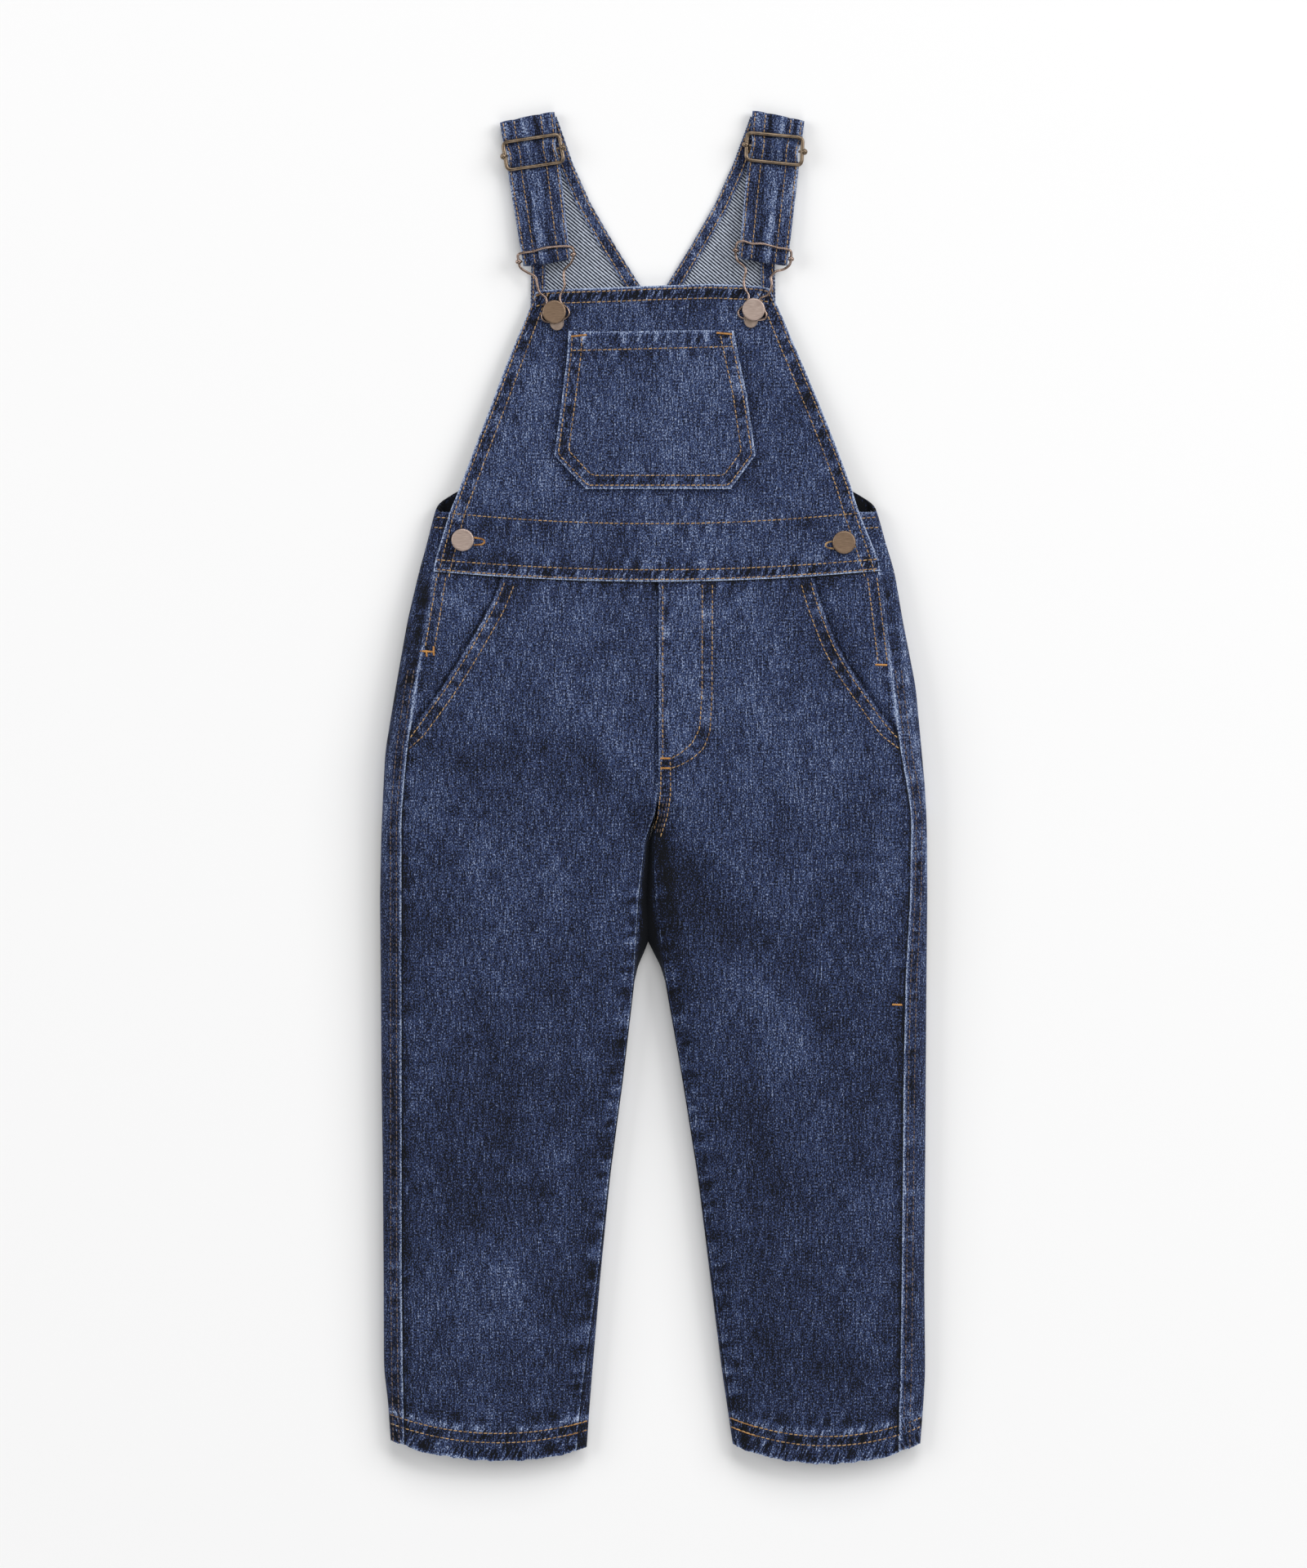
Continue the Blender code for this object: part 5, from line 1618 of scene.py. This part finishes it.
                # Painted shade: the armhole's hem darkens towards its foot, in the gap.
                deep = 1.8 * smooth((222.0 - y) / 26.0) if kind == "arm" else 0.0
                strip.add(x, y, z, self.surface.wear(x, y) - deep, wear_and_shade=(0.0, 0.0, 0.9, 0.7))
                sewn.append(strip.build(self.finishes.dark_hem, self.finishes.dark_hem))
            for inset in (1.5, 6.6):
                rows.append(SewnRow(Lines.neck(side, inset, 304.0, 408.0), self.hem_height))
            for inset in (7.2, 1.6):
                rows.append(SewnRow(Lines.arm(side, inset, 290.0, 350.0), self.hem_height))
            for drop in (3.2, 9.4):
                y = FORM.band_top - drop
                edge = float(FORM.half(side, "outer", y))
                line = [(side.value * (edge - 1.6), y), (side.value * (edge - 14.0), y - 1.0)]
                rows.append(SewnRow(np.array(line), self.band_height))
        sewn += sew("stitches_back_piece", rows, self.finishes)

    def band_height(self, x: Array, y: Array) -> Array:
        """Height of the band's underlap on top of the side."""
        out = np.abs(x)
        side = Side.LEFT if float(np.mean(x)) < 0.0 else Side.RIGHT
        edge = FORM.half(side, "outer", y)
        drop = FORM.lap * smooth((edge - out - 2.0) / 6.0)
        return FORM.top(side, out, y, drop) + 0.2


@dataclass(frozen=True)
class StrapEnd:
    """Where a folded end of a strap stands."""

    outer_x: float
    outer_y: float
    inner_x: float
    inner_y: float


STRAP_TOP = {Side.LEFT: StrapEnd(93.8, 405.4, 60.5, 411.9),
             Side.RIGHT: StrapEnd(92.2, 406.2, 60.5, 412.6)}
STRAP_LOW = {Side.LEFT: StrapEnd(79.7, 319.5, 51.0, 323.6),
             Side.RIGHT: StrapEnd(82.0, 319.8, 52.2, 324.6)}
# Share of the way down the strap and height in mm, from the back over the shoulder to the hook.
STRAP_PATH = (
    (0.075, 1.9), (0.02, 2.0), (-0.009, 2.7), (-0.018, 4.0), (-0.009, 5.3), (0.025, 6.1), (0.09, 6.2),
    (0.14, 5.7), (0.178, 7.0), (0.225, 8.9), (0.272, 7.1), (0.305, 5.9), (0.335, 5.8), (0.40, 6.3),
    (0.52, 6.6), (0.64, 7.0), (0.76, 7.5), (0.86, 8.3), (0.92, 9.7), (0.965, 10.2), (0.99, 9.4),
    (1.0, 8.0), (0.99, 6.6), (0.965, 5.7), (0.92, 5.8), (0.80, 5.4), (0.60, 4.7), (0.40, 4.2),
    (0.29, 4.0),
)


def eased_path(points: Sequence, per: int, closed: bool) -> Array:
    """A smooth path through points.

    Args:
        points: the points.
        per: steps between two of them.
        closed: whether the ends meet.

    Returns:
        The path.
    """
    points = np.asarray(points, float)
    count = len(points)
    path = []
    for i in range(count if closed else count - 1):
        if closed:
            a, b, c, d = (points[(i + k) % count] for k in (-1, 0, 1, 2))
        else:
            a, b = points[max(i - 1, 0)], points[i]
            c, d = points[i + 1], points[min(i + 2, count - 1)]
        for k in range(per):
            t = k / per
            path.append(0.5 * (2 * b + (c - a) * t + (2 * a - 5 * b + 4 * c - d) * t * t
                               + (3 * b - a - 3 * c + d) * t ** 3))
    if not closed:
        path.append(points[-1])
    return np.array(path)


@dataclass
class Strap:
    """Strap folded over the shoulder, through the slider and round the hook's bar."""

    side: Side
    finishes: Finishes
    thickness: float = 1.6
    width: float = 32.0
    length: float = 88.0
    pinch: float = 1.7
    slider_at: float = 0.225
    steps: int = 8
    shown_to: int = 21

    def place(self, t: Array, share: Array, z: Array) -> tuple:
        """x and y of a place on the strap."""
        a, b = STRAP_TOP[self.side], STRAP_LOW[self.side]
        squeeze = self.pinch * np.exp(-((t - self.slider_at) / 0.07) ** 2) * (z > 5.0)
        slide = 0.0 if self.side is Side.LEFT else 0.02
        t = t - slide * np.exp(-((t - self.slider_at) / 0.12) ** 2)
        outer = (a.outer_x + (b.outer_x - a.outer_x) * t, a.outer_y + (b.outer_y - a.outer_y) * t)
        inner = (a.inner_x + (b.inner_x - a.inner_x) * t, a.inner_y + (b.inner_y - a.inner_y) * t)
        x = outer[0] + (inner[0] - outer[0]) * share + squeeze * (2.0 * share - 1.0)
        y = outer[1] + (inner[1] - outer[1]) * share
        return self.side.value * x, y

    def profile(self, share: Array, t: Array) -> Array:
        """Height of the seams pressed into the strap across its width."""
        across = share * self.width
        total = 0.22 * noise(t * 18.0, across / 9.0, 71)
        for middle, high, wide in ((4.7, 0.42, 3.2), (16.0, 0.5, 6.6), (27.3, 0.42, 3.2)):
            total = total + high * np.exp(-(np.abs(across - middle) / wide) ** 4)
        return total

    def build(self) -> None:
        path = eased_path(STRAP_PATH, self.steps, False)
        t, z = path[:, 0:1], path[:, 1:2]
        share = np.linspace(0.0, 1.0, 41)[None, :]
        x, y = self.place(t, share, z)
        steps = np.hypot(np.diff(t, axis=0) * self.length, np.diff(z, axis=0))
        run = np.concatenate([[[0.0]], np.cumsum(steps, axis=0)])
        ridge = self.profile(share, run / self.length)
        points = np.stack(np.broadcast_arrays(x, y, z), 2)
        normal = np.cross(np.gradient(points, axis=0), np.gradient(points, axis=1))
        normal /= np.maximum(np.linalg.norm(normal, axis=2, keepdims=True), 1e-9)
        if self.side is Side.RIGHT:
            normal = -normal
        grid = points + normal * (self.thickness * 0.35 + ridge)[:, :, None]
        across = share * self.width
        wear = 0.45 * noise(across / 2.6, run / 16.0, 72) + 0.25 * noise(across / 2.4, run / 5.0, 73)
        # Painted shade in a band right of the strap's middle and in a narrow line left of it; paler along
        # a band between.
        dark = np.exp(-((across - 20.6) / 2.0) ** 2) * 1.1 * (0.7 + 0.3 * noise(run / 20.0, 0.0, 74))
        dark = dark + 0.5 * np.exp(-((across - 10.0) / 1.2) ** 2)
        wear = wear + 0.55 * np.exp(-((across - 13.5) / 2.2) ** 2) - dark
        name = self.side.name.lower()
        cloth = ClothSheet(f"cloth_strap_{name}", (f"strap_{name}",), "denim_strap", 1.5)
        cloth.add(*np.moveaxis(grid, 2, 0), wear, wear_and_shade=(0.0, 0.0, 0.85, 0.85),
                  flip=self.side is Side.RIGHT)
        points, uv, *rest = cloth.grids[0]
        uv = np.stack(np.broadcast_arrays(across * MM, run * MM), 2)
        cloth.grids[0] = (points, uv, *rest)
        piece = cloth.build(self.finishes.strap, self.finishes.strap)
        rows = []
        shown = (path[:, 1] > 4.2) & (np.arange(len(path)) < self.shown_to * self.steps)
        line_t, line_z = path[shown, 0], path[shown, 1]
        for place in (0.055, 0.255, 0.745, 0.945):
            px, py = self.place(line_t, np.full(line_t.shape, place), line_z)
            order = np.argsort(-py)
            top_y, top_z = py[order], line_z[order]

            def height(_: Array, hy: Array, ys: Array = top_y, zs: Array = top_z) -> Array:
                """Height of the strap's face under this row."""
                return np.interp(-hy, -ys, zs) + self.thickness * 0.35 + 0.42

            rows.append(SewnRow(np.stack([px[order], py[order]], 1), height, radius=0.29))
        sewn = sew(f"stitches_strap_{name}", rows, self.finishes)


def tube(path: Array, radius: float, sides: int, closed: bool) -> tuple:
    """Points and faces of a wire.

    Args:
        path: its middle line.
        radius: its radius.
        sides: how many sides it has.
        closed: whether its ends meet.

    Returns:
        Points and faces.
    """
    count = len(path)
    along = np.roll(path, -1, 0) - np.roll(path, 1, 0)
    if not closed:
        along[0], along[-1] = path[1] - path[0], path[-1] - path[-2]
    along /= np.linalg.norm(along, axis=1, keepdims=True)
    flat = np.cross(along, (0.0, 0.0, 1.0))
    flat /= np.maximum(np.linalg.norm(flat, axis=1, keepdims=True), 1e-6)
    up = np.cross(flat, along)
    turns = np.linspace(0.0, 2.0 * math.pi, sides, endpoint=False)
    points = [path + radius * (math.cos(a) * flat + math.sin(a) * up) for a in turns]
    faces = ring_quads(count, sides, closed).tolist()
    if not closed:
        faces += ring_ends(count, sides)
    return np.stack(points, 1).reshape(-1, 3), faces


@dataclass(frozen=True)
class Bar:
    """Cross bar of a wire fitting, which ends in a head round the wire."""

    outer_x: float
    outer_y: float
    inner_x: float
    inner_y: float
    z: float
    radius: float


@dataclass
class WireFitting:
    """A bent wire frame with a riveted cross bar."""

    name: str
    side: Side
    path: Array
    wire: float
    bar: Bar
    slot: str
    material: bpy.types.Material
    joint: Optional[tuple] = None
    sides: int = 14

    def nearest(self, x: float, y: float) -> int:
        """Number of the path's point nearest to a place."""
        return int(np.argmin(np.linalg.norm(self.path[:, :2] - (x, y), axis=1)))

    def build(self) -> bpy.types.Object:
        """Build the frame, its bar and heads as one piece.

        Returns:
            The piece.
        """
        parts = [tube(self.path, self.wire, self.sides, True)]
        bar, side = self.bar, self.side.value
        start = np.array([side * bar.outer_x, bar.outer_y, bar.z])
        end = np.array([side * bar.inner_x, bar.inner_y, bar.z])
        parts.append(tube(np.linspace(start, end, 4), bar.radius, 12, False))
        step = (end - start) / np.linalg.norm(end - start)
        for at, way in ((start, 1.0), (end, -1.0)):
            wire_z = self.path[self.nearest(*(at + way * step)[:2]), 2]
            middle = np.array([at[0], at[1], wire_z]) + way * step * 0.9
            places = np.linspace(-1.95, 1.95, 11)[:, None]
            share = np.maximum(0.25, np.sqrt(np.maximum(0.0, 1.0 - (places / 2.0) ** 2)))
            line = middle + step * places
            own, own_faces = tube(line, 1.0, self.sides, False)
            own = own.reshape(len(places), self.sides, 3) - line[:, None]
            own = line[:, None] + own * share[:, None] * (self.wire + 0.75)
            parts.append((own.reshape(-1, 3), own_faces))
        if self.joint is not None:
            k = self.nearest(side * self.joint[0], self.joint[1])
            before, middle, after = self.path[[k - 1, k, (k + 1) % len(self.path)]]
            way = 0.25 * (after - before) / np.linalg.norm(after - before)
            parts.append(tube(np.linspace(middle - way, middle + way, 3), self.wire * 1.1,
                              self.sides, False))
        points = np.concatenate([p for p, _ in parts])
        faces, first = [], 0
        for own, own_faces in parts:
            faces += [tuple(i + first for i in f) for f in own_faces]
            first += len(own)
        name = self.side.name.lower()
        piece = make_mesh(f"wire_{self.name}_{name}", points, faces, (self.material,), sharp=60.0)
        stand_in(piece, self.slot, f"{self.name}_{name}")
        return piece


SLIDER = {
    Side.LEFT: ((92.3, 394.7, 8.2), (58.0, 400.0, 8.2), (54.9, 383.0, 8.3), (89.5, 377.8, 8.3)),
    Side.RIGHT: ((91.4, 397.8, 8.2), (57.6, 401.0, 8.2), (56.6, 384.3, 8.3), (90.6, 380.8, 8.3)),
}
SLIDER_BAR = {
    Side.LEFT: Bar(92.8, 386.2, 54.6, 391.9, 6.8, 0.8),
    Side.RIGHT: Bar(93.2, 389.0, 55.8, 393.6, 6.5, 0.8),
}
HOOK_BAR = {
    Side.LEFT: Bar(83.4, 321.6, 48.3, 326.2, 8.0, 0.6),
    Side.RIGHT: Bar(85.0, 323.3, 49.3, 328.8, 8.0, 0.6),
}
HOOK = {
    Side.LEFT: (
        (82.4, 326.2, 11.6), (74.0, 327.8, 11.8), (66.5, 330.0, 11.8), (54.0, 331.0, 11.8),
        (49.4, 329.6, 11.4), (48.9, 325.6, 9.6), (50.6, 321.0, 8.9), (54.6, 316.6, 9.2),
        (54.8, 311.0, 9.8), (54.4, 306.6, 9.8), (57.0, 300.6, 9.8), (56.6, 296.6, 9.8),
        (52.4, 292.6, 9.8), (52.4, 288.4, 9.8), (59.0, 285.0, 9.8), (66.6, 285.4, 9.8),
        (68.2, 289.2, 9.8), (65.4, 294.6, 9.8), (66.0, 299.6, 9.8), (69.8, 303.0, 9.8),
        (71.2, 308.0, 10.0), (72.4, 312.6, 9.6), (77.2, 315.2, 9.2), (81.4, 318.2, 8.9),
        (82.4, 322.0, 9.6)),
    Side.RIGHT: (
        (84.1, 323.6, 9.2), (84.0, 327.8, 11.2), (81.0, 329.4, 11.8), (76.2, 330.0, 11.8),
        (71.9, 331.2, 11.8), (66.2, 332.6, 11.8), (60.0, 332.6, 11.8), (55.3, 334.0, 11.8),
        (51.6, 333.4, 11.4), (50.3, 329.8, 9.8), (50.3, 326.0, 9.0), (51.6, 322.2, 8.9),
        (55.0, 319.3, 9.2), (56.5, 316.0, 9.6), (55.3, 310.0, 9.8), (56.0, 305.0, 9.8),
        (58.2, 301.0, 9.8), (57.6, 297.0, 9.8), (53.5, 293.2, 9.8), (52.0, 290.5, 9.8),
        (53.4, 287.6, 9.8), (60.0, 286.2, 9.8), (67.2, 286.4, 9.8), (68.8, 288.2, 9.8),
        (68.2, 291.4, 9.8), (65.2, 295.6, 9.8), (65.6, 299.4, 9.8), (69.4, 301.2, 9.8),
        (71.6, 304.2, 9.8), (72.4, 308.2, 9.9), (71.9, 312.2, 9.6), (74.6, 315.6, 9.2),
        (79.8, 317.2, 9.0), (83.2, 319.8, 8.9)),
}

SLIDER_JOINT = {Side.LEFT: (73.6, 380.2), Side.RIGHT: (72.5, 382.6)}
# Distance out, y, radius of the cap and height of the neck.
BIB_TACK = {Side.LEFT: (60.7, 290.8, 7.2, 2.4), Side.RIGHT: (61.2, 292.3, 7.0, 2.4)}
WAIST_TACK = {Side.LEFT: (116.5, 151.0, 6.9, 1.2), Side.RIGHT: (116.3, 149.5, 7.1, 1.2)}
BUTTONHOLE = {
    Side.LEFT: ((-109.5, 152.5), (-105.4, 151.9), (-103.4, 151.0), (-103.2, 149.4), (-105.0, 148.2),
                (-109.5, 148.0)),
    Side.RIGHT: ((110.0, 150.3), (107.0, 149.8), (105.2, 148.8), (105.0, 147.4), (106.4, 146.2),
                 (110.0, 145.8)),
}


def rounded_loop(corners: Array, radius: float, steps: int = 8) -> Array:
    """A closed path with rounded corners and points along its straights."""
    path = []
    for i, point in enumerate(corners):
        before, after = corners[i - 1], corners[(i + 1) % len(corners)]
        enter = point + (before - point) / np.linalg.norm(before - point) * radius
        leave = point + (after - point) / np.linalg.norm(after - point) * radius
        for k in range(steps + 1):
            t = k / steps
            path.append((1 - t) ** 2 * enter + 2 * t * (1 - t) * point + t * t * leave)
        target = after + (point - after) / np.linalg.norm(point - after) * radius
        path += [leave + (target - leave) * k / 6 for k in range(1, 6)]
    return np.array(path)


NECK_SHARE = 0.36
# Share of the cap's radius and height over the neck, from its underside round the rim to the middle.
CAP_PROFILE = (
    (0.9, 0.15), (0.97, 0.4), (1.0, 0.85), (0.985, 1.3), (0.95, 1.62), (0.9, 1.78), (0.85, 1.8),
    (0.78, 1.76), (0.5, 1.74), (0.2, 1.74), (0.0, 1.74),
)


@dataclass
class TackButton:
    """Tack button: a pressed cap with a rolled rim on its neck."""

    name: str
    side: Side
    x: float
    y: float
    cap: float
    neck: float
    base: float
    material: bpy.types.Material
    sides: int = 56

    def build(self) -> None:
        """Build the cap and its neck as one turned shape."""
        rings = [(0.0, 0.0), (NECK_SHARE, 0.0), (NECK_SHARE, self.neck)]
        rings += [(share, self.neck + z) for share, z in CAP_PROFILE]
        turns = 2.0 * math.pi * np.arange(self.sides) / self.sides
        points = []
        for share, z in rings:
            radius = max(share, 0.002) * self.cap
            points.append(np.column_stack([self.side.value * self.x + radius * np.cos(turns),
                                           self.y + radius * np.sin(turns),
                                           np.full(self.sides, self.base + z)]))
        faces = ring_quads(len(rings), self.sides).tolist() + ring_ends(len(rings), self.sides)
        name = self.side.name.lower()
        piece = make_mesh(f"tack_{self.name}_{name}", np.concatenate(points), faces,
                          (self.material,), sharp=40.0)
        stand_in(piece, "tack_button", f"{self.name}_button_{name}")


@dataclass
class Fittings:
    """Sliders, hooks, their stops and the tack buttons of one half."""

    side: Side
    finishes: Finishes
    bib: Bib

    def tongue(self) -> None:
        """The hook's flat stop, below the button."""
        x, y, cap, _ = BIB_TACK[self.side]
        start, half, long = y - NECK_SHARE * cap - 0.4, 4.2, 8.2
        outline = [(-half, start), (half, start)]
        for k in range(25):
            turn = math.pi * k / 24
            outline.append((half * math.cos(turn), start - long + half * (1.0 - math.sin(turn))))
        outline = np.array(outline) + (self.side.value * (x - 1.6), 0.0)
        middle = outline.mean(0)
        rings = ((1.0, 10.5), (1.0, 10.9), (0.95, 11.15), (0.87, 11.15), (0.8, 10.9))
        points = [np.column_stack([middle + (outline - middle) * share, np.full(len(outline), z)])
                  for share, z in rings]
        count = len(outline)
        faces = [end[::-1] for end in ring_ends(len(rings), count)]
        faces += ring_quads(len(rings), count)[:, [1, 0, 3, 2]].tolist()
        name = self.side.name.lower()
        piece = make_mesh(f"stop_{name}", np.concatenate(points), faces, (self.finishes.stop,),
                          sharp=30.0)
        stand_in(piece, "hook_wire", f"hook_tongue_{name}")

    def buttonhole(self) -> None:
        """Sewn buttonhole at the waist, beside its button."""
        line = resampled(np.array(BUTTONHOLE[self.side]), 0.5)
        step = np.gradient(line, axis=0)
        across = np.stack([-step[:, 1], step[:, 0]], 1) / np.linalg.norm(step, axis=1)[:, None]
        thread = Thread.BAR if self.side is Side.LEFT else Thread.TOPSTITCH
        rows = [SewnRow(np.array([at - 0.6 * way, at + 0.6 * way]), self.bib.height, thread,
                        1.2, 1.3, 0.26, 0.0) for at, way in zip(line, across)]
        sew(f"buttonhole_{self.side.name.lower()}", rows, self.finishes)

    def build(self) -> None:
        """Build them all."""
        side, finishes = self.side, self.finishes
        corners = np.array(SLIDER[side]) * (side.value, 1.0, 1.0)
        joint = SLIDER_JOINT[side]
        WireFitting("slider", side, rounded_loop(corners, 3.4), 1.2, SLIDER_BAR[side],
                    "slider_wire", finishes.slider, joint).build()
        path = eased_path(np.array(HOOK[side]) * (side.value, 1.0, 1.0), 7, True)
        WireFitting("hook", side, path, 0.78, HOOK_BAR[side], "hook_wire", finishes.hook).build()
        self.tongue()
        # The caps are one metal: the bib's right one and the waist's left one take the copy with the
        # painted bright reflection, the other two the darker copy.
        other = Side.RIGHT if side is Side.LEFT else Side.LEFT
        for name, tack, cap_of in (("bib", BIB_TACK, side), ("waist", WAIST_TACK, other)):
            x, y, cap, neck = tack[side]
            base = float(FORM.top(side, x, y)) + 0.8
            TackButton(name, side, x, y, cap, neck, base, finishes.caps[cap_of]).build()
        self.buttonhole()


@dataclass(frozen=True)
class Softbox:
    """A square light: the way it stands in, its rise, distance, size and power."""

    name: str
    way: float
    rise: float
    distance: float
    size: float
    power: float


SOFTBOXES = (
    Softbox("softbox_right", 24.0, 35.0, 8.5, 5.0, 368.0),
    Softbox("softbox_left", 166.0, 35.0, 8.5, 5.0, 228.0),
    Softbox("softbox_top", 80.0, 40.0, 8.5, 5.0, 250.0),
    Softbox("softbox_near", -78.0, 40.0, 8.5, 5.0, 130.0),
    Softbox("spot_above", 60.0, 82.0, 8.5, 0.7, 17.0),
)


@dataclass
class Studio:
    """White paper, soft light from the photo's upper right, and the camera straight above."""

    finishes: Finishes
    reach: float = 0.960
    lens: float = 150.0
    sensor: float = 36.0
    middle: tuple = (0.0, 0.002)
    level: float = 0.009
    paper: float = 3000.0
    world: float = 0.275

    def floor(self) -> None:
        """Paper under the garment."""
        corners = [(x, y, 0.0) for x, y in ((-1.0, -1.0), (1.0, -1.0), (1.0, 1.0), (-1.0, 1.0))]
        paper = make_mesh("floor", np.array(corners) * self.paper, [(0, 1, 2, 3)],
                          (self.finishes.paper,))

    def lamp(self, box: Softbox) -> None:
        """A soft square light that faces the garment."""
        data = bpy.data.lights.new(box.name, "AREA")
        data.shape, data.size, data.energy = "SQUARE", box.size, box.power
        lamp = bpy.data.objects.new(box.name, data)
        way, rise = math.radians(box.way), math.radians(box.rise)
        lamp.location = (box.distance * math.cos(rise) * math.cos(way),
                         box.distance * math.cos(rise) * math.sin(way),
                         box.distance * math.sin(rise))
        lamp.rotation_euler = (math.pi / 2 - rise, 0.0, way + math.pi / 2)
        bpy.context.scene.collection.objects.link(lamp)

    def light(self) -> None:
        """Lights and the white surround."""
        for box in SOFTBOXES:
            self.lamp(box)
        world = bpy.data.worlds.new("white surround")
        world.use_nodes = True
        background = world.node_tree.nodes["Background"]
        background.inputs["Color"].default_value = srgb("#ffffff")
        background.inputs["Strength"].default_value = self.world
        bpy.context.scene.world = world
        bpy.context.scene.view_settings.view_transform = "Standard"

    def camera(self) -> None:
        """Camera straight above, framed as the photo."""
        data = bpy.data.cameras.new("camera")
        data.lens, data.sensor_width = self.lens, self.sensor
        camera = bpy.data.objects.new("camera", data)
        away = self.reach * self.lens / self.sensor
        camera.location = (*self.middle, away + self.level)
        bpy.context.scene.collection.objects.link(camera)
        bpy.context.scene.camera = camera

    def build(self) -> None:
        """Set the scene."""
        self.floor()
        self.light()
        self.camera()


def main() -> None:
    """Build every piece and hand the scene over."""
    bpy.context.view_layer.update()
    finishes = Finishes()
    for side in Side:
        LegPair(side, finishes).build()
    bib = Bib(finishes)
    bib.build()
    BackPiece(finishes).build()
    for side in Side:
        Strap(side, finishes).build()
        Fittings(side, finishes, bib).build()
    Studio(finishes).build()


if __name__ == "__main__":
    main()
